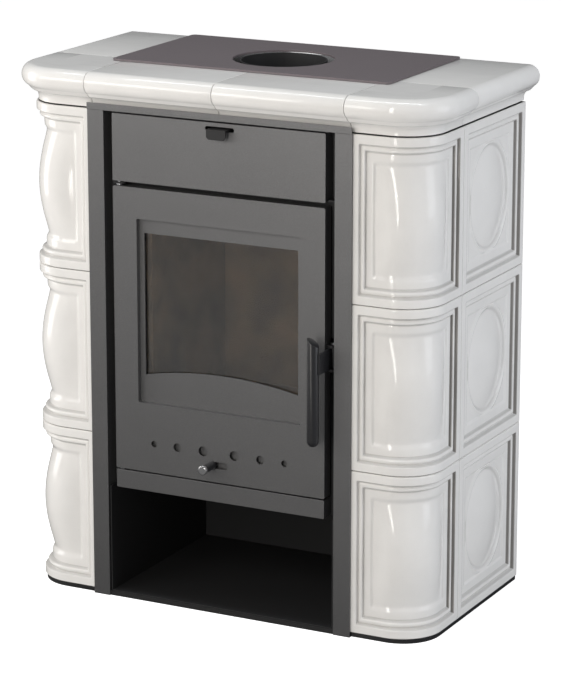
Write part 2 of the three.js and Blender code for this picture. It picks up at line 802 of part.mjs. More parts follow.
// front plate: the mouths of the fire and of the ash chamber, the notch and keeper of the
// latch, the secondary air holes and the guides of their slider
function frontPlate() {
  const half = postInnerX - seat;
  const face = frontPlateY;
  const outline = roundedRect(new THREE.Shape(), -half, half, plateBottomZ, frontPlateTopZ, sheet);
  outline.holes.push(
    roundedRect(new THREE.Path(), -fireMouthHalf, fireMouthHalf, fireMouthBottomZ, fireMouthTopZ, mouthCorner),
    roundedRect(new THREE.Path(), -ashMouthHalf, ashMouthHalf, boxFloorZ, ashMouthTopZ, plate),
    roundedRect(new THREE.Path(), latchNotchX, keeperX, latchNotchBottomZ, latchNotchTopZ, 1),
    ...secondaryHoleX.map((x) => roundHole(x, secondaryZ, secondaryHoleR)),
  );
  const lipY = face - 2 * seat - sheet;
  const tabClear = tabHalfWidth + 2 * secondaryTravel;
  const low = secondaryZ - secondaryHeight / 2 - seat;
  const high = secondaryZ + secondaryHeight / 2 + seat;
  const guide = (x0, x1, railLow, lipLow) => [
    box(x0, x1, lipY - sheet, face + 1, railLow, railLow + guideLip),
    box(x0, x1, lipY - sheet, lipY, lipLow, lipLow + guideLip + 1),
  ];
  const tabZ = panelBottomZ + 1;
  return join(
    upright(outline, face, face + plate),
    ...guide(-secondaryGuideHalf, secondaryGuideHalf, low - guideLip, low - 1),
    ...guide(-secondaryGuideHalf, -tabClear, high, high - guideLip),
    ...guide(tabClear, secondaryGuideHalf, high, high - guideLip),
    box(panelHalfWidth + panelTabGap, half, panelTabFrontY, face + 1, tabZ, tabZ + plate),
    box(keeperX, half, face + 1, face + plate + keeperDepth, armBottomZ + plate, armTopZ - plate),
  );
}

const bayFloorTopZ = floorSeatZ + sheet;

function bayFloor() {
  const half = bayWallX - seat;
  return box(-half, half, bayFrontY, bayRearY - seat, floorSeatZ, bayFloorTopZ);
}

// the log store's two walls and rear wall, bent from one sheet
function bayLiner() {
  const outer = bayWallX + sheet;
  const top = bayCeilingZ - seat;
  return cut(
    box(-outer, outer, bayFrontY, bayRearY + sheet, floorSeatZ, top),
    box(-bayWallX, bayWallX, bayFrontY - 1, bayRearY, floorSeatZ - 1, top + 1),
  );
}

function fireboxSupport() {
  const half = bayWallX + sheet;
  return box(-half, half, frontPlateY, bayRearY + sheet, bayCeilingZ, bayCeilingZ + plate);
}

function backPanel() {
  const half = bodyHalfWidth - tileDepth - seat;
  const slots = ventRows.flatMap((z) => Array.from({ length: ventCount }, (_, i) => {
    const x = (i - (ventCount - 1) / 2) * ventPitch;
    return box(x - ventWidth / 2, x + ventWidth / 2, bodyRearY - plate, bodyRearY + 1, z, z + ventHeight);
  }));
  return cut(box(-half, half, bodyRearY - sheet, bodyRearY, floorSeatZ, shieldBottomZ - seat), ...slots);
}

// bright sheet under the top plate, with its front edge turned down onto the front plate
function topShield() {
  const outline = roundedRect(new THREE.Shape(), -shieldHalfWidth, shieldHalfWidth, frontPlateY, bodyRearY, 1);
  outline.holes.push(roundHole(0, flueY, shieldHoleR));
  const turned = postInnerX - seat;
  const down = box(-turned, turned, frontPlateY, frontPlateY + sheet, frontPlateTopZ + seat, shieldTopZ);
  return join(flat(outline, shieldBottomZ, shieldTopZ, flueSides / 4), down);
}

function topPlate() {
  const half = topPlateHalfWidth;
  const low = corniceTopZ + seat;
  const outline = roundedRect(new THREE.Shape(), -half, half, topPlateFrontY, topPlateRearY, topPlateCorner);
  outline.holes.push(roundHole(0, flueY, topPlateHoleR));
  return flat(outline, low, low + topPlateThickness, flueSides / 4);
}

// ---------------------------------------------------------------- firebox

function fireboxBody() {
  const inner = boxHalfWidth - boxWall;
  const front = frontPlateY + plate + seat;
  const rear = boxRearY - boxWall;
  const shell = cut(
    box(-boxHalfWidth, boxHalfWidth, front, boxRearY, plateBottomZ, boxTopZ),
    box(-inner, inner, front - 1, rear, boxFloorZ, boxTopZ - boxWall),
    box(-inner, inner, front + boxWall, rear, plateBottomZ - 1, boxFloorZ - boxWall),
    rod(0, flueY, flueOuterR - boxWall, boxTopZ - 2 * boxWall, boxTopZ + 1, flueSides / 2),
  );
  const ledge = (x0, x1) => box(x0, x1, front + boxWall, rear + 1, ledgeZ - ledgeThickness, ledgeZ);
  return join(shell, ledge(-inner - 1, ledgeWidth - inner), ledge(inner - ledgeWidth, inner + 1));
}

// fireclay slab on the ledges, with a rebate that the grate lies in
function hearthSlab() {
  const opening = (margin, z) => {
    const half = grateHalfWidth + margin;
    return box(-half, half, grateFrontY - margin, grateRearY + margin, z, brickFloorTopZ + 1);
  };
  return cut(
    box(-liningX, liningX, brickFrontY, liningRearY, ledgeZ + seat, brickFloorTopZ),
    opening(-grateLip, ledgeZ),
    opening(seat, grateSeatZ),
  );
}

function sideBrick(x0) {
  return box(x0, x0 + brick, sideBrickFrontY, backBrickY - seat, brickFloorTopZ + seat, brickTopZ);
}

function rearBrick() {
  return box(-liningX, liningX, backBrickY, liningRearY, brickFloorTopZ + seat, brickTopZ);
}

function bafflePlate() {
  const low = brickTopZ + seat;
  return box(-liningX, liningX, baffleFrontY, liningRearY, low, low + baffleThickness);
}

function grateCasting() {
  const low = grateSeatZ + seat;
  const high = low + grateThickness;
  const pitch = (2 * grateHalfWidth - grateRim) / grateBars;
  const slots = Array.from({ length: grateBars }, (_, i) => {
    const x = grateRim - grateHalfWidth + i * pitch;
    return box(x, x + pitch - grateRim, grateFrontY + grateLip, grateRearY - grateLip, low - 1, high + 1);
  });
  return cut(box(-grateHalfWidth, grateHalfWidth, grateFrontY, grateRearY, low, high), ...slots);
}

function logGuard() {
  const low = brickFloorTopZ + seat;
  const rear = brickFrontY + plate;
  const slots = Array.from({ length: guardSlots }, (_, i) => {
    const x = (i - (guardSlots - 1) / 2) * guardSlotPitch;
    const [x0, x1] = [x - guardSlotHalf, x + guardSlotHalf];
    return box(x0, x1, brickFrontY - 1, rear + 1, low + guardRim, guardTopZ - guardRim);
  });
  return cut(box(-liningX, liningX, brickFrontY, rear, low, guardTopZ), ...slots);
}

function flueCollar() {
  const low = boxTopZ + seat;
  const inner = flueOuterR - flueWall;
  const outline = [
    [inner, low], [flueOuterR + flueFlange, low], [flueOuterR + flueFlange, low + plate],
    [flueOuterR, low + plate], [flueOuterR, flueTopZ], [inner, flueTopZ], [inner, low],
  ];
  return turned(outline, flueSides).rotateX(Math.PI / 2).translate(0, flueY, 0);
}

function ashPan() {
  const low = boxFloorZ + seat;
  const high = low + panHeight;
  const inner = panHalfWidth - panWall;
  const tray = cut(
    box(-panHalfWidth, panHalfWidth, panFrontY, panRearY, low, high),
    box(-inner, inner, panFrontY + panWall, panRearY - panWall, low + panWall, high + 1),
  );
  const [gripFrontY, gripZ] = [panFrontY - panGripReach, high - panGripDrop];
  return join(tray, box(-panGripHalf, panGripHalf, gripFrontY, panFrontY + 1, gripZ - sheet, gripZ));
}

// ---------------------------------------------------------------- door

function doorFront() {
  const pan = foldedPan(doorHalfWidth, doorBottomZ, doorTopZ, doorCorner, doorDepth, plate);
  const hole = roundedRect(
    new THREE.Shape(), -windowHalfWidth, windowHalfWidth, windowBottomZ, windowTopZ, doorCorner);
  const slot = longSlot(0, airSlotZ, airSlotHalf, airSlotHeight, plate);
  const drill = (x, r) => crossRod(x, airHoleZ, r, -1, plate + 1, 16);
  const drills = airHoles.flatMap(([x, r]) => [drill(-x, r), drill(x, r)]);
  const face = cut(pan, upright(hole, -1, plate + 1), slot, ...drills);
  const collarHalf = windowHalfWidth + sheet;
  const collar = roundedRect(
    new THREE.Shape(), -collarHalf, collarHalf, windowBottomZ - sheet, windowTopZ + sheet, doorCorner + sheet);
  collar.holes.push(roundedRect(
    new THREE.Path(), -windowHalfWidth, windowHalfWidth, windowBottomZ, windowTopZ, doorCorner));
  const inFront = airPlateY - seat;
  const behind = airPlateY + sheet + seat;
  const guide = (railLow, lipLow) => [
    box(-airGuideHalf, airGuideHalf, plate - 1, behind + sheet, railLow, railLow + guideLip),
    box(-airGuideHalf, airGuideHalf, inFront - sheet, inFront, lipLow, lipLow + guideLip + 1),
    box(-airGuideHalf, airGuideHalf, behind, behind + sheet, lipLow, lipLow + guideLip + 1),
  ];
  const low = airPlateBottomZ - seat;
  const high = airPlateTopZ + seat;
  return join(
    face,
    upright(collar, plate - 1, windowRecess - seat),
    ...guide(low - guideLip, low - 1),
    ...guide(high, high - guideLip),
  );
}

// the frame that holds the glass: its lower edge is a shallow arch
function windowFrame() {
  const outer = windowHalfWidth + windowLap;
  const outline = roundedRect(
    new THREE.Shape(), -outer, outer, windowBottomZ - windowLap, windowTopZ + windowLap, doorCorner);
  const radius = (glazedHalfWidth ** 2 + archCrown ** 2) / (2 * archCrown);
  const centreZ = archEndZ + archCrown - radius;
  const half = Math.asin(glazedHalfWidth / radius);
  const opening = new THREE.Path();
  opening.moveTo(-glazedHalfWidth, glazedTopZ);
  opening.lineTo(-glazedHalfWidth, archEndZ);
  opening.absarc(0, centreZ, radius, Math.PI / 2 + half, Math.PI / 2 - half, true);
  opening.lineTo(glazedHalfWidth, glazedTopZ);
  outline.holes.push(opening);
  return upright(outline, windowRecess, windowRecess + plate, 10);
}

const glassY = windowRecess + plate + seat;
const retainerY = glassY + glassThickness + 2 * seat;

function windowGlass() {
  const half = glazedHalfWidth + glassLap;
  const outline = roundedRect(
    new THREE.Shape(), -half, half, archEndZ - glassLap, glazedTopZ + glassLap, doorCorner);
  return upright(outline, glassY, glassY + glassThickness);
}

function glassRetainer() {
  const half = glazedHalfWidth + 1;
  const outline = roundedRect(
    new THREE.Shape(), -retainerHalf, retainerHalf, retainerBottomZ, retainerTopZ, doorCorner);
  outline.holes.push(roundedRect(new THREE.Path(), -half, half, archEndZ - 1, glazedTopZ + 1, doorCorner));
  return upright(outline, retainerY, retainerY + sheet);
}

// inner panel of the door, open behind the window and behind the air slider
function doorBackFrame() {
  const edge = sheet + seat;
  const half = doorHalfWidth - edge;
  const inner = retainerHalf - retainerLap;
  const outline = roundedRect(new THREE.Shape(), -half, half, doorBottomZ + edge, doorTopZ - edge, 1);
  outline.holes.push(
    roundedRect(
      new THREE.Path(), -inner, inner, retainerBottomZ + retainerLap, retainerTopZ - retainerLap, doorCorner),
    roundedRect(new THREE.Path(), -retainerHalf, retainerHalf, airOpeningBottomZ, airOpeningTopZ, doorCorner),
  );
  return upright(outline, retainerY - seat - sheet, retainerY - seat);
}

// rope seal: a rounded section carried round a closed, rounded rectangle
function ropeSeal() {
  const path = roundedRect(new THREE.Path(), -sealX, sealX, sealBottomZ, sealTopZ, sealCorner);
  const line = path.getPoints(3).slice(0, -1);
  const sides = 8;
  const halfDeep = (frontPlateY - seat - retainerY) / 2;
  const points = line.flatMap((point, i) => {
    const before = line.at(i - 1);
    const after = line[(i + 1) % line.length];
    const along = after.clone().sub(before).normalize();
    return Array.from({ length: sides }, (_, k) => {
      const turn = (2 * Math.PI * (k + 0.5)) / sides;
      const out = (sealWidth / 2) * Math.cos(turn);
      const deep = (halfDeep * Math.sin(turn)) / Math.cos(Math.PI / sides / 2);
      return [point.x + along.y * out, retainerY + halfDeep + deep, point.y - along.x * out];
    });
  });
  const triangles = line.flatMap((_, i) => Array.from({ length: sides }, (__, k) => {
    const [row, nextRow] = [i * sides, ((i + 1) % line.length) * sides];
    const next = (k + 1) % sides;
    return [[row + k, nextRow + next, nextRow + k], [row + k, row + next, nextRow + next]];
  }).flat());
  return meshFrom(points, triangles);
}

// hinge pin on the edge of the door: up is 1 for the upper pin and -1 for the lower one
function hingePin(up, z) {
  const outline = [
    [0, 0], [hingeCollarR, 0], [hingeCollarR, hingeCollar], [hingePinR, hingeCollar],
    [hingePinR, hingePinLength], [0, hingePinLength],
  ];
  return turned(outline, 16).rotateX((up * Math.PI) / 2).translate(hingeX, hingeY, z);
}

function hingeBracket(z) {
  const [x0, x1] = [hingeX - hingeReach, hingeX + hingeReach];
  const front = hingeY - hingeCollarR;
  const rear = frontPlateY - seat;
  const outline = polygon([
    [x0, rear], [x0, front + hingeChamfer], [x0 + hingeChamfer, front],
    [x1 - hingeChamfer, front], [x1, front + hingeChamfer], [x1, rear],
  ]);
  outline.holes.push(roundHole(hingeX, hingeY, hingePinR + pinClearance));
  return flat(outline, z, z + plate);
}

// ---------------------------------------------------------------- air controls

function airSlider() {
  const outline = roundedRect(
    new THREE.Shape(), -airPlateHalf, airPlateHalf, airPlateBottomZ, airPlateTopZ, 1);
  for (const [x, r] of airHoles) {
    for (const at of [-x, x]) {
      outline.holes.push(roundHole(at - airTravel, airHoleZ, r));
    }
  }
  return upright(outline, airPlateY, airPlateY + sheet);
}

function airRod() {
  const front = airKnobFrontY + airCapLength + seat;
  const outline = [
    [0, front], [airRodR, front], [airRodR, airShoulderY], [airStudR, airShoulderY],
    [airStudR, airPlateY - seat], [0, airPlateY - seat],
  ];
  return turned(outline, 20).translate(airKnobX, 0, airSlotZ);
}

function airCap() {
  const outline = [
    [0, 0], [airCapR - airCapChamfer, 0], [airCapR, airCapChamfer], [airCapR, airCapLength], [0, airCapLength],
  ];
  return turned(outline, 24).translate(airKnobX, airKnobFrontY, airSlotZ);
}

// slider behind the upper panel: plate, upright stem, arm through the slot and turned-down tab
function secondarySlider() {
  const rear = frontPlateY - seat;
  const low = secondaryZ - secondaryHeight / 2;
  const high = secondaryZ + secondaryHeight / 2;
  const outline = roundedRect(new THREE.Shape(), -secondaryHalf, secondaryHalf, low, high, 1);
  outline.holes.push(...secondaryHoleX.map((x) => roundHole(x - secondaryTravel, secondaryZ, secondaryHoleR)));
  const [x0, x1] = [tabSlotX - tabHalfWidth, tabSlotX + tabHalfWidth];
  const armTop = tabSlotZ + sheet / 2;
  const tabLow = armTop - tabDrop;
  const tab = polygon([
    [x0, armTop], [x0, tabLow + tabChamfer], [x0 + tabChamfer, tabLow], [x1 - tabChamfer, tabLow],
    [x1, tabLow + tabChamfer], [x1, armTop],
  ]);
  return join(
    upright(outline, rear - sheet, rear),
    box(x0, x1, rear - sheet, rear, high - 1, armTop),
    box(x0, x1, -tabReach, rear, armTop - sheet, armTop),
    upright(tab, -tabReach, -tabReach + sheet),
  );
}

// ---------------------------------------------------------------- door handle

// round bar with a domed foot and a slanting top
function handleBar() {
  const dome = Array.from({ length: 5 }, (_, i) => {
    const turn = (Math.PI / 2) * (i / 4);
    return [barR * Math.sin(turn), barBottomZ + barR * (1 - Math.cos(turn))];
  });
  const bar = turned([...dome, [barR, barTopZ], [0, barTopZ]], 20);
  bar.rotateX(Math.PI / 2).translate(barX, barY, 0);
  const size = 4 * barR;
  const slant = box(0, size, -size, size, 0, size).rotateY(THREE.MathUtils.degToRad(barTopSlope));
  return cut(bar, slant.translate(barX - barR, barY, barTopZ));
}

// the arm runs from the bar back past the edge of the door, round its pivot, to the latch hook
function handleArm() {
  const [x0, x1] = [armX - armThickness / 2, armX + armThickness / 2];
  const hookRear = hookY + armThickness;
  const body = join(
    box(x0, x1, barY - 2, hookRear, armBottomZ, armTopZ),
    box(x0, hookTipX, hookY, hookRear, armBottomZ, armTopZ),
    rod(pivotX, pivotY, knuckleR, armBottomZ, armTopZ, 16),
  );
  return cut(
    body,
    rod(pivotX, pivotY, pivotR + pinClearance, armBottomZ - 1, armTopZ + 1, 16),
    rod(barX, barY, barR + seat, armBottomZ - 1, armTopZ + 1, 20),
  );
}

// folded bracket on the edge of the door, with one lug below the arm and one above it
function handleBracket() {
  const face = doorHalfWidth + seat;
  const low = armBottomZ - seat - lugThickness;
  const high = armTopZ + seat;
  const outline = polygon([
    [face, lugFrontY], [pivotX + pivotR, lugFrontY], [pivotX + knuckleR, lugFrontY + knuckleR],
    [pivotX + knuckleR, lugRearY], [face, lugRearY],
  ]);
  outline.holes.push(roundHole(pivotX, pivotY, pivotR + pinClearance));
  return join(
    box(face, face + webThickness, lugFrontY, webRearY, low, high + lugThickness),
    flat(outline, low, low + lugThickness),
    flat(outline, high, high + lugThickness),
  );
}

function handlePivotPin() {
  const low = armBottomZ - seat - lugThickness - sheet;
  const head = armTopZ + 2 * seat + lugThickness;
  const outline = [
    [0, low], [pivotR, low], [pivotR, head], [knuckleR, head], [knuckleR, head + sheet], [0, head + sheet],
  ];
  return turned(outline, 16).rotateX(Math.PI / 2).translate(pivotX, pivotY, 0);
}

// ---------------------------------------------------------------- the stove

const finish = (color, roughness, metalness) => new THREE.MeshStandardMaterial({ color, roughness, metalness });
const glaze = () => finish(0xefeee9, 0.12, 0);
const paintedSteel = () => finish(0x55565a, 0.5, 0.55);
const blackSteel = () => finish(0x17171a, 0.6, 0.4);
const brightSteel = () => finish(0xc9cccf, 0.3, 0.9);
const brownSteel = () => finish(0x5a5254, 0.5, 0.5);
const castIron = () => finish(0x2c2c2e, 0.8, 0.5);
const fireclay = () => finish(0xcbb38b, 0.95, 0);
const clearGlass = () => {
  const material = finish(0x6a7478, 0.05, 0);
  material.transparent = true;
  material.opacity = 0.35;
  return material;
};
const rope = () => finish(0xb9b4a8, 1, 0);
const chrome = () => finish(0xdfe2e5, 0.08, 1);

const stove = new THREE.Group();

function add(name, geometry, material, x = 0, y = 0, z = 0, turn = 0) {
  const mesh = new THREE.Mesh(geometry, material);
  mesh.name = name;
  mesh.position.set(x, y, z);
  mesh.rotation.z = turn;
  stove.add(mesh);
}

const sideJointY = tileFrontY + cornerLeg + tileJoint / 2;

for (const [i, tier] of ['lower', 'middle', 'upper'].entries()) {
  const z = floorSeatZ + i * tierPitch;
  add(`corner_tile_right_${tier}`, cornerTile(), glaze(), bodyHalfWidth, tileFrontY, z);
  add(`corner_tile_left_${tier}`, cornerTile(), glaze(), -bodyHalfWidth, tileFrontY, z, -Math.PI / 2);
  add(`side_tile_right_${tier}`, sideTile(), glaze(), bodyHalfWidth, sideJointY, z);
  add(`side_tile_left_${tier}`, sideTile(), glaze(), -bodyHalfWidth, sideJointY + sideLength, z, Math.PI);
}

add('cornice_corner_right', cornerCornice(), glaze(), bodyHalfWidth, tileFrontY);
add('cornice_corner_left', cornerCornice(), glaze(), -bodyHalfWidth, tileFrontY, 0, -Math.PI / 2);
add('cornice_front_right', frontCornice(), glaze(), tileJoint / 2, tileFrontY);
add('cornice_front_left', frontCornice(), glaze(), -cornerJointX + tileJoint / 2, tileFrontY);
add('cornice_side_right', sideCornice(), glaze(), bodyHalfWidth, sideJointY);
add('cornice_side_left', sideCornice(), glaze(), -bodyHalfWidth, sideJointY + sideLength, 0, Math.PI);

add('floor_plate', floorPlate(), blackSteel());
add('right_post', post(1), paintedSteel());
add('left_post', post(-1), paintedSteel());
add('top_rail', topRail(), paintedSteel());
add('bay_floor', bayFloor(), blackSteel());
add('bay_liner', bayLiner(), blackSteel());
add('firebox_support', fireboxSupport(), blackSteel());
add('front_plate', frontPlate(), blackSteel());
add('upper_panel', upperPanel(), paintedSteel());
add('apron', apron(), paintedSteel());
add('back_panel', backPanel(), blackSteel());
add('top_shield', topShield(), brightSteel());
add('top_plate', topPlate(), brownSteel());

add('firebox_body', fireboxBody(), blackSteel());
add('hearth_slab', hearthSlab(), fireclay());
add('brick_right', sideBrick(liningX - brick), fireclay());
add('brick_left', sideBrick(-liningX), fireclay());
add('brick_back', rearBrick(), fireclay());
add('baffle_plate', bafflePlate(), fireclay());
add('grate', grateCasting(), castIron());
add('log_guard', logGuard(), castIron());
add('flue_collar', flueCollar(), blackSteel());
add('ash_pan', ashPan(), blackSteel());

add('door_front', doorFront(), paintedSteel());
add('door_back_frame', doorBackFrame(), blackSteel());
add('window_frame', windowFrame(), paintedSteel());
add('window_glass', windowGlass(), clearGlass());
add('glass_retainer', glassRetainer(), blackSteel());
add('door_seal', ropeSeal(), rope());
add('upper_hinge_pin', hingePin(1, doorTopZ + seat), brightSteel());
add('lower_hinge_pin', hingePin(-1, doorBottomZ - seat), brightSteel());
add('upper_hinge_bracket', hingeBracket(doorTopZ + 2 * seat + hingeCollar), blackSteel());
add('lower_hinge_bracket', hingeBracket(doorBottomZ - 2 * seat - hingeCollar - plate), blackSteel());
add('handle_bracket', handleBracket(), blackSteel());
add('handle_pivot_pin', handlePivotPin(), brightSteel());
add('handle_bar', handleBar(), blackSteel());
add('handle_arm', handleArm(), blackSteel());

add('air_slider', airSlider(), paintedSteel());
add('air_rod', airRod(), blackSteel());
add('air_cap', airCap(), chrome());
add('secondary_air_slider', secondarySlider(), blackSteel());

// the origin moves to the middle of the footprint, from the bar's front to the rear edges
const frontmostY = barY - barR;
stove.position.y = -(frontmostY + bodyRearY) / 2;

export default stove;
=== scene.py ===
"""Tiled wood stove: glazed relief tiles, bullnose cornice, painted steel, handle, seal and lining."""

import json
import math

import bmesh
import bpy
import numpy as np
from bpy.props import FloatProperty, FloatVectorProperty, PointerProperty
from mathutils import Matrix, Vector


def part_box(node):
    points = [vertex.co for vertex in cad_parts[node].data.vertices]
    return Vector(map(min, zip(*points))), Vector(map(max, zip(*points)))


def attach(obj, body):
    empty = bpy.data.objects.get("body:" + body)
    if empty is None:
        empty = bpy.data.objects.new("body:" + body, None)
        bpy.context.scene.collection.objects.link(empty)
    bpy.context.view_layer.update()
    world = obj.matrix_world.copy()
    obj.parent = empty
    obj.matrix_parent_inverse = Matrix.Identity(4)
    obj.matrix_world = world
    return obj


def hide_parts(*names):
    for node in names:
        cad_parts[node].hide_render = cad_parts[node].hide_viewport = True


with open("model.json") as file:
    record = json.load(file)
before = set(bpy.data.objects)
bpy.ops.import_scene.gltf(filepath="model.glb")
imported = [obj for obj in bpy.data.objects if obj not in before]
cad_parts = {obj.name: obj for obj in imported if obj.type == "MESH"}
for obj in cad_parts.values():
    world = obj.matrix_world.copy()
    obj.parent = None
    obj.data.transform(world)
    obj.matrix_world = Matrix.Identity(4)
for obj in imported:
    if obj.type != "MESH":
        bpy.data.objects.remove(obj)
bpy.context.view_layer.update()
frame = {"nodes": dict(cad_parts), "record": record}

bl_info = {
    "name": "Tiled Wood Stove",
    "version": (1, 0, 0),
    "blender": (4, 5, 0),
    "location": "3D View > Sidebar > Stove",
    "description": "Builds a wood stove clad in glazed relief tiles",
    "category": "Object",
}

TIERS = ("lower", "middle", "upper")


# ---- settings


def length(name, description, default):
    """A size property in metres."""
    return FloatProperty(name=name, description=description, default=default, unit="LENGTH", precision=5)


def colour(name, description, default):
    """A colour property."""
    return FloatVectorProperty(
        name=name, description=description, default=default, subtype="COLOR", min=0, max=1)


def watts(name, description, default):
    """The power of a light."""
    return FloatProperty(name=name, description=description, default=default, unit="POWER", min=0)


class StoveTileSizes(bpy.types.PropertyGroup):
    """Relief of the tiles and of the cornice."""

    arris: length("Arris", "Rounding of a tile's edge", 0.0025)
    softness: length("Softness", "How far the glaze rounds the steps of the frame", 0.0004)
    melt: length("Melt", "How far the glaze softens the barrel's edges", 0.0026)
    barrel_rise: length("Barrel Rise", "Rise of the barrel panel of a corner tile", 0.0114)
    oval_rise: length("Oval Rise", "Rise of the oval boss of a side tile", 0.0114)
    rim: length("Rim", "Width of the rim on the back of a tile", 0.012)
    pocket: length("Pocket", "Depth of the hollow back, from the face", 0.027)
    corner_radius: length("Corner Radius", "Rounded front corners of the stove", 0.072)
    nose_radius: length("Nose Radius", "Radius of the bullnose", 0.01944)
    joint_round: length("Joint Rounding", "Rounding of the cornice at its joints", 0.0011)


class StoveColours(bpy.types.PropertyGroup):
    """Colours of the finishes."""

    glaze: colour("Glaze", "Glaze on flat faces", (0.87, 0.855, 0.83))
    # painted shade: this dark grey is partly glaze pooled in the grooves and partly shade painted into them
    glaze_pool: colour("Pooled Glaze", "Thicker glaze in the grooves", (0.17, 0.155, 0.14))
    # painted shadow: the tile sides are drawn near black for the shade in the gaps, not in the clay's colour
    joint: colour("Joint", "Unglazed sides and joints of the tiles", (0.03, 0.028, 0.026))
    anthracite: colour("Anthracite", "Paint of the door, posts and panels", (0.232, 0.232, 0.235))
    black: colour("Black", "Matt paint of the inner parts", (0.018, 0.018, 0.019))
    brown: colour("Brown Grey", "Paint of the hot plate", (0.20, 0.17, 0.18))
    satin: colour("Satin Black", "Handle and air knob", (0.02, 0.02, 0.022))
    bright: colour("Bright Steel", "Bare steel", (0.62, 0.63, 0.65))
    fireclay: colour("Fireclay", "Lining of the firebox", (0.36, 0.25, 0.15))
    iron: colour("Cast Iron", "Grate and log guard", (0.045, 0.045, 0.047))
    rope: colour("Rope", "Seal of the door", (0.42, 0.40, 0.36))


class StoveStage(bpy.types.PropertyGroup):
    """Floor, light and camera."""

    floor: colour("Floor", "Floor and background", (0.7, 0.7, 0.7))
    key: watts("Key Light", "Tall narrow softbox in front", 14)
    low: watts("Low Light", "Narrow softbox in front, near the floor", 7.5)
    sheen: watts("Sheen Light", "Wide softbox in front of the upper left corner", 9.5)
    top: watts("Top Light", "Long narrow softbox overhead", 13)
    side: watts("Side Light", "Tall softbox on the left", 18.5)
    fill: watts("Fill Light", "Softbox on the right", 39)
    lens: FloatProperty(name="Lens", description="Focal length", default=163.54, unit="CAMERA", min=1)


SETTINGS = {"stove_tiles": StoveTileSizes, "stove_colours": StoveColours, "stove_stage": StoveStage}


# ---- meshes

MERGE_DISTANCE = 2e-6  # metres between corners of a CAD node that are one corner
FLAT_ANGLE = 0.6  # degrees under which two of its facets are one face
EASED_ANGLE = 38  # degrees from which an edge is rounded
EASED_SMOOTH = 32  # degrees up to which a rounded copy is shaded smooth

# lines of a tile's grid near its edges, in millimetres: from, to, step
EDGE_ZONES = ((0, 3, 0.5), (3, 14, 2.75), (14, 31.5, 0.7), (31.5, 43, 2.3), (43, 54, 1.1))
EDGE_REACH = 0.054  # metres that these zones take up


def add_piece(name, vertices, faces, material, body, replaced, smooth_angle=35):
    """An object from arrays, smooth up to an angle, that rides on a body and stands for CAD nodes."""
    mesh = bpy.data.meshes.new(name)
    mesh.from_pydata(vertices, [], faces)
    mesh.update()
    return finish_piece(name, mesh, material, body, replaced, smooth_angle)


def finish_piece(name, mesh, material, body, replaced, smooth_angle):
    """Shades a mesh, gives it its material, and ties it to its body and CAD nodes."""
    mesh.polygons.foreach_set("use_smooth", np.ones(len(mesh.polygons), bool))
    mesh.set_sharp_from_angle(angle=math.radians(smooth_angle))
    mesh.materials.append(material)
    piece = bpy.data.objects.new(name, mesh)
    bpy.context.scene.collection.objects.link(piece)
    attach(piece, body)
    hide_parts(*replaced)
    slot_of(replaced[0])
    return piece


def slot_of(node):
    """The record's material slot of a CAD node."""
    parts = frame["record"]["subparts"]
    return next(part["material_slot"] for part in parts if part["node"] == node)


def body_of(node):
    """The body that a CAD node belongs to."""
    bodies = frame["record"]["behaviour"]["bodies"]
    return next(name for name, nodes in bodies.items() if node in nodes)


def eased_copy(node, material, easing, segments=2):
    """A merged copy of a CAD node whose edges are rounded by a bevel as wide as easing."""
    mesh = bpy.data.meshes.new(node + "_eased")
    work = bmesh.new()
    work.from_mesh(frame["nodes"][node].data)
    bmesh.ops.remove_doubles(work, verts=work.verts, dist=MERGE_DISTANCE)
    bmesh.ops.dissolve_limit(
        work, angle_limit=math.radians(FLAT_ANGLE), verts=work.verts, edges=work.edges)
    work.to_mesh(mesh)
    work.free()
    piece = finish_piece(node + "_eased", mesh, material, body_of(node), [node], EASED_SMOOTH)
    bevel = piece.modifiers.new("easing", "BEVEL")
    bevel.width = easing
    bevel.segments = segments
    bevel.limit_method = "ANGLE"
    bevel.angle_limit = math.radians(EASED_ANGLE)
    bevel.harden_normals = True


def stops(total, inner_step):
    """Places along a tile, in metres: closest together on the steps of the frame."""
    edge = np.concatenate([np.arange(*zone) for zone in EDGE_ZONES]) * 0.001
    count = int(round((total - 2 * EDGE_REACH) / inner_step)) + 1
    inner = np.linspace(EDGE_REACH, total - EDGE_REACH, count)
    return np.concatenate([edge, inner, (total - edge)[::-1]])


def bell(distance, width):
    """A bell curve of height 1."""
    return np.exp(-0.5 * (distance / width) ** 2)


def walk(points):
    """How far along a line of points each of them lies."""
    return np.concatenate([[0], np.cumsum(np.linalg.norm(np.diff(points, axis=0), axis=1))])


def bell_mean(values, width, step):
    """A running mean of evenly spaced values, weighted by a bell curve; the ends are carried on."""
    reach = max(1, int(3 * width / step))
    offsets = np.arange(-reach, reach + 1) * step
    weights = bell(offsets, width)
    padded = np.concatenate([np.full(reach, values[0]), values, np.full(reach, values[-1])])
    return np.convolve(padded, weights / weights.sum(), mode="valid")


def grid_faces(rows, columns):
    """Quads of a grid that is stored row by row, as an index array."""
    j, i = np.meshgrid(np.arange(rows - 1), np.arange(columns - 1), indexing="ij")
    a = (j * columns + i).ravel()
    return np.stack([a, a + 1, a + 1 + columns, a + columns], axis=1)


def ring_faces(first, second):
    """Quads between two closed loops of vertex numbers of equal length."""
    return np.stack([first, second, np.roll(second, -1), np.roll(first, -1)], axis=1)


def tube_faces(rings):
    """Quads from each ring of vertex numbers to the next."""
    return np.concatenate([ring_faces(upper, lower) for lower, upper in zip(rings, rings[1:])]).tolist()


# ---- finishes


def connect(node, inputs):
    """Links each input of a node to a socket, or sets it to a value."""
    for socket, value in inputs.items():
        if isinstance(value, bpy.types.NodeSocket):
            node.id_data.links.new(value, node.inputs[socket])
        else:
            node.inputs[socket].default_value = value


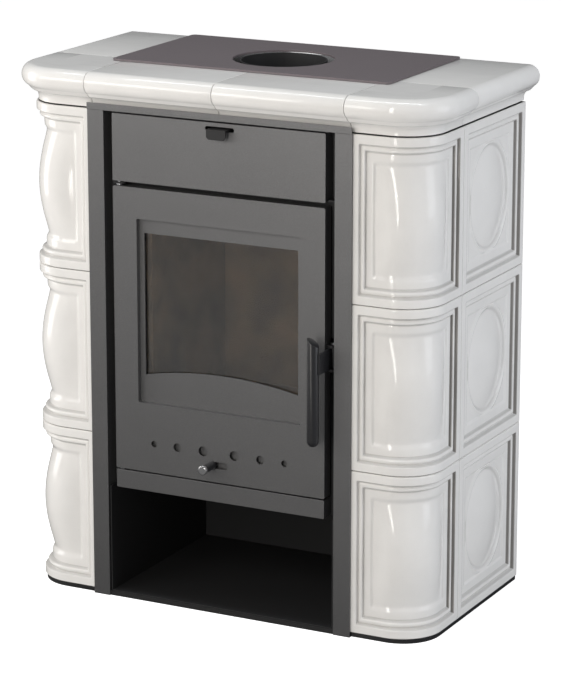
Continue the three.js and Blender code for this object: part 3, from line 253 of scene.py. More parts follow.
def node_tools(name):
    """A new material, its Principled shader, a function that adds nodes, and the coordinates of the
    piece itself."""
    material = bpy.data.materials.new(name)
    material.use_nodes = True
    tree = material.node_tree

    def add(kind, inputs=(), **settings):
        node = tree.nodes.new(kind)
        for key, value in settings.items():
            setattr(node, key, value)
        connect(node, dict(inputs))
        return node

    return material, tree.nodes["Principled BSDF"], add, add("ShaderNodeTexCoord").outputs["Object"]


def ranged(add, value, low, high, new_low, new_high):
    """A clamped Map Range of a value."""
    inputs = {"Value": value, "From Min": low, "From Max": high, "To Min": new_low, "To Max": new_high}
    return add("ShaderNodeMapRange", inputs).outputs["Result"]


def blended(add, factor, first, second):
    """A mix of two colours, each a socket or a plain colour."""
    node = add("ShaderNodeMix", data_type="RGBA")
    for socket, value in ((6, first), (7, second)):
        connect(node, {socket: value if isinstance(value, bpy.types.NodeSocket) else (*value, 1)})
    connect(node, {0: factor})
    return node.outputs[2]


def noise(add, place, scale, detail, **more):
    """Noise over the given coordinates."""
    inputs = {"Vector": place, "Scale": scale, "Detail": detail, **more}
    return add("ShaderNodeTexNoise", inputs).outputs["Fac"]


def bumped(add, height, strength, distance):
    """The normal of a surface that a height roughens."""
    bump = add("ShaderNodeBump", {"Height": height, "Strength": strength, "Distance": distance})
    return bump.outputs["Normal"]


def scaled(colour_value, factor):
    """A plain colour made darker or lighter."""
    return [c * factor for c in colour_value]


def finish(maker):
    """The material of a maker, made on first use. Its name differs from the frame's own slots."""
    name = "stove_" + maker.__name__
    return bpy.data.materials.get(name) or maker(name)


def glaze(name):
    """Glossy white glaze: greyer where the pool attribute nears 1, partly pooled glaze and partly painted
    shade in the grooves, with fine dark speckles. Where the attribute nears JOINT_SHADE it gives way to a
    near-black painted shadow of the gaps between tiles."""
    shades = bpy.context.scene.stove_colours
    material, shader, add, place = node_tools(name)
    mark = add("ShaderNodeAttribute", attribute_name="pool").outputs["Fac"]
    pool = ranged(add, mark, 0, 1, 0, 1)
    cloud = ranged(add, noise(add, place, 18, 3), 0.35, 0.7, 0, 1)
    warm = blended(add, cloud, shades.glaze, scaled(shades.glaze, 0.965))
    speck = ranged(add, noise(add, place, 900, 2, Roughness=0.7), 0.60, 0.75, 0, 0.16)
    speckled = blended(add, speck, warm, (0.45, 0.42, 0.38))
    # painted shade: grooves and hollows turn towards a dark grey, partly pooled glaze and partly painted
    # shade
    pooled_and_shaded = blended(add, pool, speckled, shades.glaze_pool)
    connect(shader, {
        # painted shadow: where the attribute nears JOINT_SHADE the colour turns near black
        "Base Color": blended(add, ranged(add, mark, 1.2, 1.8, 0, 1), pooled_and_shaded, shades.joint),
        "Roughness": ranged(add, mark, 1.2, 1.8, 0.12, 0.8),
        "IOR": 1.52,
        "Normal": bumped(add, noise(add, place, 30, 2), 0.12, 0.002),
    })
    return material


def stove_paint(name, tone, metallic, roughness, grain, sparkle):
    """Heat-proof paint: a fine grain that catches the light, and a slight mottling."""
    base = getattr(bpy.context.scene.stove_colours, tone)
    material, shader, add, place = node_tools(name)
    fine = noise(add, place, 1100, 3, Roughness=0.75)
    broad = noise(add, place, 9, 3)
    glint = ranged(add, fine, 0.35, 0.72, 0, 1)
    light = blended(add, glint, scaled(base, 1 - sparkle), scaled(base, 1 + sparkle))
    connect(shader, {
        "Base Color": blended(add, ranged(add, broad, 0.3, 0.75, 0, 0.10), light, scaled(base, 0.6)),
        "Metallic": metallic,
        "Roughness": ranged(add, fine, 0.3, 0.75, roughness - 0.06, roughness + 0.08),
        "Normal": bumped(add, fine, grain, 0.0004),
    })
    return material


def anthracite(name):
    """Anthracite metallic paint of the outer steel."""
    return stove_paint(name, "anthracite", metallic=0.85, roughness=0.46, grain=0.4, sparkle=0.4)


def black_paint(name):
    """Matt black paint of the inner steel."""
    return stove_paint(name, "black", metallic=0.0, roughness=0.62, grain=0.25, sparkle=0.25)


def brown_paint(name):
    """Brownish grey paint of the hot plate."""
    return stove_paint(name, "brown", metallic=0.25, roughness=0.5, grain=0.3, sparkle=0.25)


def satin_black(name):
    """Smooth black coating of the handle and the air knob."""
    return stove_paint(name, "satin", metallic=0.0, roughness=0.3, grain=0.05, sparkle=0.1)


def brushed_steel(name):
    """Bare steel with fine lines along X."""
    shades = bpy.context.scene.stove_colours
    material, shader, add, place = node_tools(name)
    turned = add("ShaderNodeMapping", {"Vector": place, "Scale": (6, 900, 900)}).outputs["Vector"]
    lines = noise(add, turned, 1.5, 3)
    tone = blended(add, ranged(add, lines, 0.3, 0.7, 0, 1), scaled(shades.bright, 0.85), shades.bright)
    gloss = ranged(add, lines, 0.3, 0.7, 0.22, 0.36)
    connect(shader, {"Base Color": tone, "Metallic": 1, "Roughness": gloss})
    return material


def chrome(name):
    """Polished chrome with faint swirls."""
    material, shader, add, place = node_tools(name)
    smear = ranged(add, noise(add, place, 300, 2), 0.3, 0.7, 0.05, 0.12)
    connect(shader, {"Base Color": (0.8, 0.8, 0.81, 1), "Metallic": 1, "Roughness": smear})
    return material


def cast_iron(name):
    """Rough grey cast iron with a sandy skin and a little rust."""
    shades = bpy.context.scene.stove_colours
    material, shader, add, place = node_tools(name)
    sand = noise(add, place, 420, 4, Roughness=0.7)
    rust = ranged(add, noise(add, place, 40, 4), 0.5, 0.75, 0, 0.5)
    connect(shader, {
        "Base Color": blended(add, rust, shades.iron, (0.085, 0.055, 0.04)),
        "Metallic": 0.4,
        "Roughness": 0.7,
        "Normal": bumped(add, sand, 0.5, 0.0008),
    })
    return material


def fireclay(name):
    """Buff fireclay with coarse grains, pits and a breath of soot."""
    shades = bpy.context.scene.stove_colours
    material, shader, add, place = node_tools(name)
    grain = noise(add, place, 260, 4, Roughness=0.7)
    grains = ranged(add, grain, 0.35, 0.68, 0, 1)
    soot = ranged(add, noise(add, place, 7, 4), 0.35, 0.68, 0.1, 0.9)
    tone = blended(add, grains, scaled(shades.fireclay, 0.8), shades.fireclay)
    connect(shader, {
        "Base Color": blended(add, soot, tone, (0.06, 0.05, 0.04)),
        "Roughness": 0.95,
        "Normal": bumped(add, grain, 0.5, 0.001),
    })
    return material


def rope(name):
    """Grey-white glass fibre rope: a fine weave across the strands."""
    shades = bpy.context.scene.stove_colours
    material, shader, add, place = node_tools(name)
    weave = noise(add, place, 1400, 2)
    threads = ranged(add, weave, 0.35, 0.65, 0, 1)
    connect(shader, {
        "Base Color": blended(add, threads, scaled(shades.rope, 0.7), shades.rope),
        "Roughness": 0.9,
        "Normal": bumped(add, weave, 0.6, 0.0006),
    })
    return material


def ceramic_glass(name):
    """Clear ceramic glass with a very faint unevenness."""
    material, shader, add, place = node_tools(name)
    haze = ranged(add, noise(add, place, 25, 3), 0.4, 0.8, 0.0, 0.05)
    connect(shader, {
        "Base Color": (0.93, 0.92, 0.90, 1), "Roughness": haze, "Transmission Weight": 1, "IOR": 1.5})
    return material


# ---- relief tiles

# the nested frame of a tile, in millimetres: distance from the edge, depth of the face
FRAME_STEPS = [
    [0, 0], [14.6, 0], [15.4, 0.5], [17.0, 4.9], [18.2, 5.9], [19.6, 5.3], [21.6, 4.0], [23.6, 3.8],
    [25.4, 4.4], [26.6, 5.6], [28.2, 9.0], [29.3, 9.8], [31, 9.3], [44.5, 9.5],
]
FRAME_LINE = np.array([*FRAME_STEPS, [48.5, 12.8], [60, 8]]) * 0.001
SIDE_FRAME_LINE = np.array([*FRAME_STEPS, [48.5, 11.4], [60, 11.4]]) * 0.001

# metres, unless the comment says otherwise
TABLE_STEP = 0.00005  # between the places at which the frame's depth is worked out
GROOVES = ((0.0150, 0.0192), (0.0264, 0.0304))  # where on the frame the grooves are darkened: pooled glaze and painted shade
GROOVE_SOFTNESS = 0.0004  # how far that grey fades out
REAR_GREY = 0.85  # share of the darkening in the grooves along a tile's rear edge, mostly painted shade
OTHER_GREY = 0.3  # and along its other edges
MITRE_EASE = 0.0008  # how far the frame's mitres are rounded
PANEL_INSET = 0.0485  # from the edge to the crease round the panel
BARREL_FADE = 0.002  # rise of the barrel over which the grey of its crease fades
MELT_INSET = 0.040  # from the edge to where the softening begins
MELT_BLEND = 0.004  # and how far it takes to be complete
CORNER_STEPS = (0.0032, 0.004)  # inner grid of a corner tile, across and up
SIDE_STEPS = (0.0015, 0.0017)  # inner grid of a side tile
CORNER_BACK = 0.045  # depth of a corner tile
SIDE_WALL_START = 0.0006  # depth below the face at which the near-black painted shadow of the gaps begins
REAR_MARGIN = 0.00001  # how near to the rear plane a point counts as on it
JOINT_SHADE = 2.0  # value of the pool attribute where the gaps get a near-black painted shadow

# oval boss: metres inward from its ellipse, unless the comment says otherwise
OVAL_MARGIN = 0.003  # from the crease round the panel to the ellipse
OVAL_FOOT = 0.0022  # depth of the groove at its foot
OVAL_DOME = 0.97  # share of the ellipse that the dome takes up
DROP_AT, DROP_WIDTH = 0.0008, 0.0006  # the step down into the groove
RIDGE_HEIGHT, RIDGE_AT, RIDGE_WIDTH = 0.0024, -0.0035, 0.0028  # the low swell outside it
GREY_SHARE, GREY_AT, GREY_WIDTH = 0.22, 0.0022, 0.0013  # the darkened groove: pooled glaze and painted shade


def frame_table(line, softness):
    """The frame's depth over the distance from the edge, with eased corners, and where the grooves are
    darkened, partly as pooled glaze and partly as painted shade: on the steep steps and in the hollows at
    their feet."""
    distance = np.arange(0, line[-1, 0], TABLE_STEP)
    depth = bell_mean(np.interp(distance, line[:, 0], line[:, 1]), softness, TABLE_STEP)
    grooves = np.zeros(len(distance))
    for start, end in GROOVES:
        grooves[(distance > start) & (distance < end)] = 1
    return distance, depth, bell_mean(grooves, GROOVE_SOFTNESS, TABLE_STEP)


def edge_distance(s, z, across, height, blend):
    """Distance from the nearest edge of a tile, as a soft minimum of the four, so mitres are eased."""
    parts = np.stack([s, across - s, z, height - z])
    return -blend * np.log(np.exp(-parts / blend).sum(axis=0))


def arris_depth(distance, radius):
    """Quarter round of a tile's edge: depth r - sqrt(r^2 - (r - d)^2) up to d = r."""
    inside = np.clip(radius - distance, 0, radius)
    return radius - np.sqrt(np.maximum(radius ** 2 - inside ** 2, 0))


def bell_matrix(places, width):
    """The matrix that takes a bell-weighted running mean over unevenly spaced places."""
    gaps = np.gradient(places)
    weights = bell(places[:, None] - places[None, :], width) * gaps[None, :]
    return weights / weights.sum(axis=1, keepdims=True)


def melted(depth, s, z, width):
    """The depth with all that lies further in than MELT_INSET softened by a running mean."""
    soft = bell_matrix(z, width) @ depth @ bell_matrix(s, width).T
    reach = np.minimum(np.minimum(s, s[-1] - s)[None, :], np.minimum(z, z[-1] - z)[:, None])
    share = np.clip((reach - MELT_INSET) / MELT_BLEND, 0, 1)
    share = share * share * (3 - 2 * share)
    return depth + (soft - depth) * share


def tile_relief(s, z, across, height, line, panel):
    """Depth and darkening over a tile, pooled glaze and painted shade in the grooves: the frame's line laid
    over the distance from the edge, with the arris taken off. panel(u, v, depth, pool) reshapes what lies
    inside the frame."""
    sizes = bpy.context.scene.stove_tiles
    others = np.minimum(s, np.minimum(z, height - z))
    plain = np.minimum(others, across - s)
    soft = np.maximum(edge_distance(s, z, across, height, MITRE_EASE), 0)
    table, depths, pools_and_shade = frame_table(line, sizes.softness)
    depth = np.interp(soft, table, depths)
    # painted shade: the grooves along the rear edge are darkened far more than the others
    pool = np.interp(soft, table, pools_and_shade) * np.where(across - s < others, REAR_GREY, OTHER_GREY)
    u = (s - across / 2) / (across / 2 - PANEL_INSET)
    v = (z - height / 2) / (height / 2 - PANEL_INSET)
    depth, pool = panel(u, v, depth, pool)
    return depth + arris_depth(plain, sizes.arris), pool


def barrel_panel(u, v, depth, pool):
    """Barrel: it rises from the crease by rise * (1 - u^4) * (1 - v^2)^1.25."""
    rise = bpy.context.scene.stove_tiles.barrel_rise
    inside = (np.abs(u) < 1) & (np.abs(v) < 1)
    swell = rise * np.clip(1 - u ** 4, 0, 1) * np.clip(1 - v ** 2, 0, 1) ** 1.25
    barrel = FRAME_LINE[-2, 1] - swell
    depth = np.where(inside, barrel, depth)
    return depth, np.where(inside, pool * np.clip(1 - swell / BARREL_FADE, 0, 1), pool)


def oval_panel(across, height):
    """Oval boss: inside the ellipse r = 1 the face drops along 1 / (1 + e^-x) into a groove, then
    rises by rise * (1 - (r / OVAL_DOME)^2). A low bell-shaped swell runs round the outside."""
    sizes = bpy.context.scene.stove_tiles
    half_s, half_z = across / 2 - PANEL_INSET, height / 2 - PANEL_INSET
    reach_s, reach_z = half_s - OVAL_MARGIN, half_z - OVAL_MARGIN
    panel_depth = SIDE_FRAME_LINE[-1, 1]
    foot_depth = panel_depth + OVAL_FOOT

    def shape(u, v, depth, pool):
        r = np.sqrt((u * half_s / reach_s) ** 2 + (v * half_z / reach_z) ** 2)
        inward = (1 - r) * min(reach_s, reach_z)
        dome = foot_depth - sizes.oval_rise * np.clip(1 - (r / OVAL_DOME) ** 2, 0, 1)
        drop = 1 / (1 + np.exp(-(inward - DROP_AT) / DROP_WIDTH))
        ridge = RIDGE_HEIGHT * bell(inward - RIDGE_AT, RIDGE_WIDTH)
        grey = GREY_SHARE * bell(inward - GREY_AT, GREY_WIDTH)
        flat = (np.abs(u) < 1) & (np.abs(v) < 1)
        shaped = panel_depth + (dome - panel_depth) * drop - ridge
        return np.where(flat, shaped, depth), np.where(flat, np.maximum(grey, pool * (r > 1)), pool)

    return shape


def corner_place(s, z, depth, leg, radius):
    """The line across a corner tile: flat, quarter round, flat. A deeper line is the same line moved
    straight back from both walls. The corner where both faces would meet is the origin."""
    run = leg - radius
    total = 2 * run + radius * math.pi / 2
    centre = radius + depth
    turn = np.clip((s - run) / radius, 0, math.pi / 2)
    x = np.where(s < run, -leg + s * (leg - centre) / run, -centre + radius * np.sin(turn))
    y = np.where(s > total - run, leg - (total - s) * (leg - centre) / run, centre - radius * np.cos(turn))
    return np.stack([x, y, z], axis=-1)


def tile_arrays(s, z, depth, pool, place, back, rim, pocket):
    """A closed tile from its front grid: side walls, rim and hollow back follow the border loop."""
    rows, columns = len(z), len(s)
    grid_s, grid_z = np.meshgrid(s, z)
    front = place(grid_s, grid_z, depth).reshape(-1, 3)
    numbers = np.arange(rows * columns).reshape(rows, columns)
    loop = np.concatenate([numbers[0, :-1], numbers[:-1, -1], numbers[-1, :0:-1], numbers[:0:-1, 0]])
    loop_s, loop_z = grid_s.ravel()[loop], grid_z.ravel()[loop]
    inner_s = rim + loop_s * (s[-1] - 2 * rim) / s[-1]
    inner_z = rim + loop_z * (z[-1] - 2 * rim) / z[-1]
    one = np.ones(len(loop))
    rings = [
        place(loop_s, loop_z, (depth.ravel()[loop] + SIDE_WALL_START) * one),
        place(loop_s, loop_z, back * one),
        place(inner_s, inner_z, back * one),
        place(inner_s, inner_z, pocket * one),
    ]
    vertices = np.concatenate([front, *rings])
    faces = [grid_faces(rows, columns)]
    loops = [loop] + [rows * columns + k * len(loop) + np.arange(len(loop)) for k in range(4)]
    faces += [ring_faces(loops[k], loops[k + 1]) for k in range(4)]
    floor = loops[4]
    bottom, top = floor[:columns], floor[columns + rows - 2 : 2 * columns + rows - 2][::-1]
    right = floor[columns - 1 : columns + rows - 1]
    left = np.concatenate([floor[2 * columns + rows - 3 :], floor[:1]])
    quads = np.stack([bottom[1:-2], top[1:-2], top[2:-1], bottom[2:-1]], axis=1)
    listed = np.concatenate([*faces, quads]).tolist()
    listed.append([*left[::-1].tolist(), int(top[1]), int(bottom[1])])
    listed.append([int(bottom[-2]), int(top[-2]), *right[::-1].tolist()])
    # painted shadow: sides, rim and back are all marked for the near-black gap shadow
    shades = np.full(len(vertices), JOINT_SHADE)
    shades[: rows * columns] = pool.ravel()
    return vertices, listed, shades


def add_tile(node, vertices, faces, pool, mirrored):
    """Puts a tile into the scene; a mirrored one has its faces turned the other way round. At the rear of the
    stove its edge lies in no gap, so neither the painted gap shadow nor the groove darkening is put there: it
    is plain glaze."""
    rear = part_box("side_tile_right_upper")[1][1]
    pool = np.where(vertices[:, 1] > rear - REAR_MARGIN, 0, pool)
    if mirrored:
        vertices = vertices * np.array([-1, 1, 1])
        faces = [face[::-1] for face in faces]
    glazed = finish(glaze)
    piece = add_piece(node + "_glazed", vertices, faces, glazed, "stove_body", [node], smooth_angle=50)
    attribute = piece.data.attributes.new("pool", "FLOAT", "POINT")
    attribute.data.foreach_set("value", pool)


class StoveCornerTiles(bpy.types.Operator):
    """Six tiles that wrap the rounded corners: a nested frame round a barrel panel"""

    bl_idname = "stove.corner_tiles"
    bl_label = "Corner Tiles"

    def execute(self, context):
        sizes = context.scene.stove_tiles
        for tier in TIERS:
            node = "corner_tile_right_" + tier
            low, high = np.array(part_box(node))
            leg = high[0] - low[0]
            across = 2 * (leg - sizes.corner_radius) + sizes.corner_radius * math.pi / 2
            height = high[2] - low[2]
            s, z = stops(across, CORNER_STEPS[0]), stops(height, CORNER_STEPS[1])
            depth, pool = tile_relief(*np.meshgrid(s, z), across, height, FRAME_LINE, barrel_panel)
            depth = melted(depth, s, z, sizes.melt)
            apex = np.array([high[0], low[1], low[2]])

            def place(along, up, deep):
                return corner_place(along, up, deep, leg, sizes.corner_radius) + apex

            arrays = tile_arrays(s, z, depth, pool, place, CORNER_BACK, sizes.rim, sizes.pocket)
            add_tile(node, *arrays, False)
            add_tile("corner_tile_left_" + tier, *arrays, True)
        return {"FINISHED"}


class StoveSideTiles(bpy.types.Operator):
    """Six flat tiles on the sides: a nested frame round an oval boss"""

    bl_idname = "stove.side_tiles"
    bl_label = "Side Tiles"

    def execute(self, context):
        sizes = context.scene.stove_tiles
        for tier in TIERS:
            node = "side_tile_right_" + tier
            low, high = np.array(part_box(node))
            across, height = high[1] - low[1], high[2] - low[2]
            s, z = stops(across, SIDE_STEPS[0]), stops(height, SIDE_STEPS[1])
            panel = oval_panel(across, height)
            depth, pool = tile_relief(*np.meshgrid(s, z), across, height, SIDE_FRAME_LINE, panel)

            def place(along, up, deep):
                return np.stack([high[0] - deep, low[1] + along, low[2] + up], axis=-1)

            arrays = tile_arrays(s, z, depth, pool, place, high[0] - low[0], sizes.rim, sizes.pocket)
            add_tile(node, *arrays, False)
            add_tile("side_tile_left_" + tier, *arrays, True)
        return {"FINISHED"}


# ---- cornice


# section of the cornice in metres: outward from the tiles' faces, and up from the top
NOSE_OUT = 0.005  # centre of the bullnose
NOSE_TURN = 150  # degrees that it turns through
UNDER_STEP = (0.009, -0.0426)  # foot of the face under the bullnose
COVE_CENTRE = (0.0065, -0.0581)  # centre of the cove's quarter ellipse
COVE_REACH = (0.0105, 0.0135)  # and its half axes
FOOT_OUT, FOOT_LEVEL = -0.004, -0.0621  # lower end of the moulding
TONGUE_FRONT, TONGUE_BACK = -0.008, -0.018  # the tongue behind the tiles
SLAB_DEEP = 0.014  # thickness of the flat top
SECTION_STEP = 0.0001  # between the places at which the moulding is eased
SECTION_EASE = 0.0007  # how far it is eased
SECTION_KEPT = 11  # every so many of those places becomes a point of the section
GREY_TURNING = 900  # radians a metre that a hollow turns where it would be all grey
GREY_MOST = 0.55  # the greyest that a hollow gets
CORNER_RING = 0.04  # depth of the swept part round the corner, from the wall line
CORNER_OVERLAP = 0.0001  # how far the flat part inside the corner runs under it


def cornice_section(back, foot):
    """Section of the cornice as (outward, up) in metres, from the back of the slab over the bullnose, step
    and cove to the foot, with its moulded part eased by a running mean. Also gives how dark the glaze is
    made: greyer with the moulding's concave turning, partly pooled glaze and partly painted shade in the
    hollows, and a near-black painted shadow on the tail behind the foot."""
    nose_radius = bpy.context.scene.stove_tiles.nose_radius
    turn = np.radians(np.linspace(0, NOSE_TURN, 40))
    nose = np.stack([NOSE_OUT + nose_radius * np.sin(turn), nose_radius * (np.cos(turn) - 1)], axis=1)
    bend = np.linspace(0, math.pi / 2, 12)
    cove_out = COVE_CENTRE[0] - COVE_REACH[0] * np.sin(bend)
    cove_up = COVE_CENTRE[1] + COVE_REACH[1] * np.cos(bend)
    cove = np.stack([cove_out, cove_up], axis=1)
    corners = np.concatenate([nose, [UNDER_STEP], cove, [(FOOT_OUT, FOOT_LEVEL)]])
    walked = walk(corners)
    fine = np.arange(0, walked[-1], SECTION_STEP)
    out = bell_mean(np.interp(fine, walked, corners[:, 0]), SECTION_EASE, SECTION_STEP)
    up = bell_mean(np.interp(fine, walked, corners[:, 1]), SECTION_EASE, SECTION_STEP)
    heading = np.unwrap(np.arctan2(np.gradient(up), np.gradient(out)))
    turning = np.clip(np.gradient(heading, SECTION_STEP), 0, None)
    concave = bell_mean(turning, SECTION_EASE, SECTION_STEP)
    moulding = np.stack([out, np.minimum(up, 0)], axis=1)[::SECTION_KEPT]
    pool = np.clip(concave[::SECTION_KEPT] / GREY_TURNING, 0, GREY_MOST)
    lead = np.array([[back, 0], [(back + NOSE_OUT) / 2, 0]])
    tail = np.array([
        [FOOT_OUT, FOOT_LEVEL], [TONGUE_FRONT, FOOT_LEVEL], [TONGUE_FRONT, foot], [TONGUE_BACK, foot],
        [TONGUE_BACK, -SLAB_DEEP], [back, -SLAB_DEEP],
    ])
    # painted shadow: the tongue and slab under the cornice get the near-black gap shadow
    shades = np.full(len(tail), JOINT_SHADE)
    shades[0] = 0
    return np.concatenate([lead, moulding, tail]), np.concatenate([np.zeros(len(lead)), pool, shades])


def section_normals(line):
    """Unit normals of a closed section, square to the line between the neighbours of each point."""
    along = np.roll(line, -1, axis=0) - np.roll(line, 1, axis=0)
    along /= np.linalg.norm(along, axis=1, keepdims=True)
    return np.stack([-along[:, 1], along[:, 0]], axis=1)


def swept_section(stations, section, top, rounding):
    """A section carried along stations (x, y, outward x, outward y), from end to end. Near both ends
    it is drawn in along its normals like a quarter round, and flat caps close it."""
    walked = walk(stations[:, :2])
    steps = rounding * (1 - np.cos(np.linspace(0, math.pi / 2, 5)))
    start, end = steps[:-1], (walked[-1] - steps)[::-1][1:]
    places = np.concatenate([start, [rounding], walked[1:-1], [walked[-1] - rounding], end])
    along = np.stack([np.interp(places, walked, stations[:, k]) for k in range(4)], axis=1)
    draw = arris_depth(np.minimum(places, walked[-1] - places), rounding)
    shape = section - draw[:, None, None] * section_normals(section)
    outward, up = shape[:, :, 0], shape[:, :, 1] + top
    x = along[:, None, 0] + along[:, None, 2] * outward
    y = along[:, None, 1] + along[:, None, 3] * outward
    vertices = np.stack([x, y, up], axis=-1).reshape(-1, 3)
    rings = np.arange(len(vertices)).reshape(-1, len(section))
    return vertices, [*tube_faces(rings), rings[0].tolist(), rings[-1][::-1].tolist()]


class StoveCornice(bpy.types.Operator):
    """Six glazed pieces that cap the tiles: bullnose, step, cove and foot under a flat top, one section
    swept along the tiles' faces. Point = station + outward * section, up = top + section"""

    bl_idname = "stove.cornice"
    bl_label = "Cornice"

    def execute(self, context):
        sizes = context.scene.stove_tiles
        rounding, radius = sizes.joint_round, sizes.corner_radius
        tile_low, tile_high = np.array(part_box("corner_tile_right_upper"))
        wall_x, wall_y = tile_high[0], tile_low[1]
        for side in ("right", "left"):
            mirrored = side == "left"
            low, high = np.array(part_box("cornice_front_right"))
            line, pool = cornice_section(wall_y - high[1], low[2] - high[2])
            stations = np.array([[low[0], wall_y, 0, -1], [high[0], wall_y, 0, -1]])
            shape = swept_section(stations, line, high[2], rounding)
            self.add("cornice_front_" + side, shape, pool, mirrored)
            low, high = np.array(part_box("cornice_side_right"))
            line, pool = cornice_section(low[0] - wall_x, low[2] - high[2])
            stations = np.array([[wall_x, low[1], 1, 0], [wall_x, high[1], 1, 0]])
            shape = swept_section(stations, line, high[2], rounding)
            self.add("cornice_side_" + side, shape, pool, mirrored)
            low, high = np.array(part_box("cornice_corner_right"))
            line, pool = cornice_section(-CORNER_RING, low[2] - high[2])
            turns = np.linspace(0, math.pi / 2, 31)
            nx, ny = np.sin(turns), -np.cos(turns)
            bend = np.stack([wall_x - radius + radius * nx, wall_y + radius + radius * ny, nx, ny], axis=1)
            stations = np.concatenate([[[low[0], wall_y, 0, -1]], bend, [[wall_x, high[1], 1, 0]]])
            shape = swept_section(stations, line, high[2], rounding)
            slab = self.slab(stations, low, high, rounding)
            self.add("cornice_corner_" + side, shape, pool, mirrored, slab)
        return {"FINISHED"}

    def slab(self, stations, low, high, rounding):
        """The flat part inside the corner moulding: a plate whose curved edge is the moulding's back."""
        inner = stations[:, :2] - (CORNER_RING - CORNER_OVERLAP) * stations[:, 2:]
        rim = np.concatenate([inner, [[low[0], high[1]]]])
        rim[0, 0] += rounding
        rim[-2, 1] -= rounding
        rim[-1] += np.array([rounding, -rounding])
        count = len(rim)
        top = np.column_stack([rim, np.full(count, high[2])])
        under = np.column_stack([rim, np.full(count, high[2] - SLAB_DEEP)])
        numbers = np.arange(count)
        faces = ring_faces(numbers, numbers + count).tolist()
        faces.append(numbers.tolist())
        faces.append((numbers + count)[::-1].tolist())
        return np.concatenate([top, under]), faces

    def add(self, node, shape, pool, mirrored, slab=None):
        """Puts a piece of cornice into the scene, with the flat part that a corner piece has."""
        vertices, faces = shape
        shades = np.tile(pool, len(vertices) // len(pool))
        if slab:
            faces = faces + [[k + len(vertices) for k in face] for face in slab[1]]
            vertices = np.concatenate([vertices, slab[0]])
            shades = np.concatenate([shades, np.zeros(len(slab[0]))])
        add_tile(node, vertices, faces, shades, mirrored)


# ---- steel and lining


class StoveShell(bpy.types.Operator):
    """Posts, rail, panels, log store and plates of painted steel"""

    bl_idname = "stove.shell"
    bl_label = "Steel Shell"

    def execute(self, context):
        painted = finish(anthracite)
        black = finish(black_paint)
        for node in ("right_post", "left_post", "top_rail", "upper_panel", "apron"):
            eased_copy(node, painted, easing=0.0007)
        for node in ("floor_plate", "bay_floor", "bay_liner", "firebox_support", "front_plate", "back_panel"):
            eased_copy(node, black, easing=0.0004)
        eased_copy("top_plate", finish(brown_paint), easing=0.0006)
        eased_copy("top_shield", finish(brushed_steel), easing=0.0003)
        eased_copy("flue_collar", black, easing=0.0005)
        return {"FINISHED"}


class StoveFirebox(bpy.types.Operator):
    """Welded firebox with its fireclay lining, grate, log guard and ash pan"""

    bl_idname = "stove.firebox"
    bl_label = "Firebox"

    def execute(self, context):
        black = finish(black_paint)
        clay = finish(fireclay)
        iron = finish(cast_iron)
        eased_copy("firebox_body", black, easing=0.0008)
        for node in ("hearth_slab", "brick_right", "brick_left", "brick_back", "baffle_plate"):
            eased_copy(node, clay, easing=0.0018)
        eased_copy("grate", iron, easing=0.0012)
        eased_copy("log_guard", iron, easing=0.0008)
        eased_copy("ash_pan", black, easing=0.0003)
        return {"FINISHED"}


class StoveDoor(bpy.types.Operator):
    """Door with its window frame, glass, retainer, inner frame and hinges"""

    bl_idname = "stove.door"
    bl_label = "Door"

    def execute(self, context):
        painted = finish(anthracite)
        black = finish(black_paint)
        steel = finish(brushed_steel)
        eased_copy("door_front", painted, easing=0.0007)
        eased_copy("window_frame", painted, easing=0.0006)
        for node in ("glass_retainer", "door_back_frame", "upper_hinge_bracket", "lower_hinge_bracket"):
            eased_copy(node, black, easing=0.0003)
        for node in ("upper_hinge_pin", "lower_hinge_pin"):
            eased_copy(node, steel, easing=0.0003)
        eased_copy("window_glass", finish(ceramic_glass), easing=0.0004)
        return {"FINISHED"}


# metres, unless the comment says otherwise
SEAL_HALF_WIDTH = 0.0045  # half the rope's width across the seal
SEAL_CORNER = 0.014  # radius of the rope's middle at the corners
ROPE_RINGS = 1100  # rings along the rope
ROPE_SIDES = 20  # points round it
ROPE_LAY = 0.012  # along the rope, for one turn of the strands
ROPE_SWELL = 0.14  # share of the rope's thickness that the strands stand out
GRIP_SIDES = 48  # points round the handle bar
GRIP_START = 0.02  # radians from its lowest point to the first ring
GRIP_SLOPE = 35  # degrees of its slanting top
GRIP_SEAT = 0.0002  # how far the top stays under the solid's
GRIP_EDGE = ((0, 0.0008), (0.0003, 0.0002), (0.0009, 0))  # rings of its edge: in, down


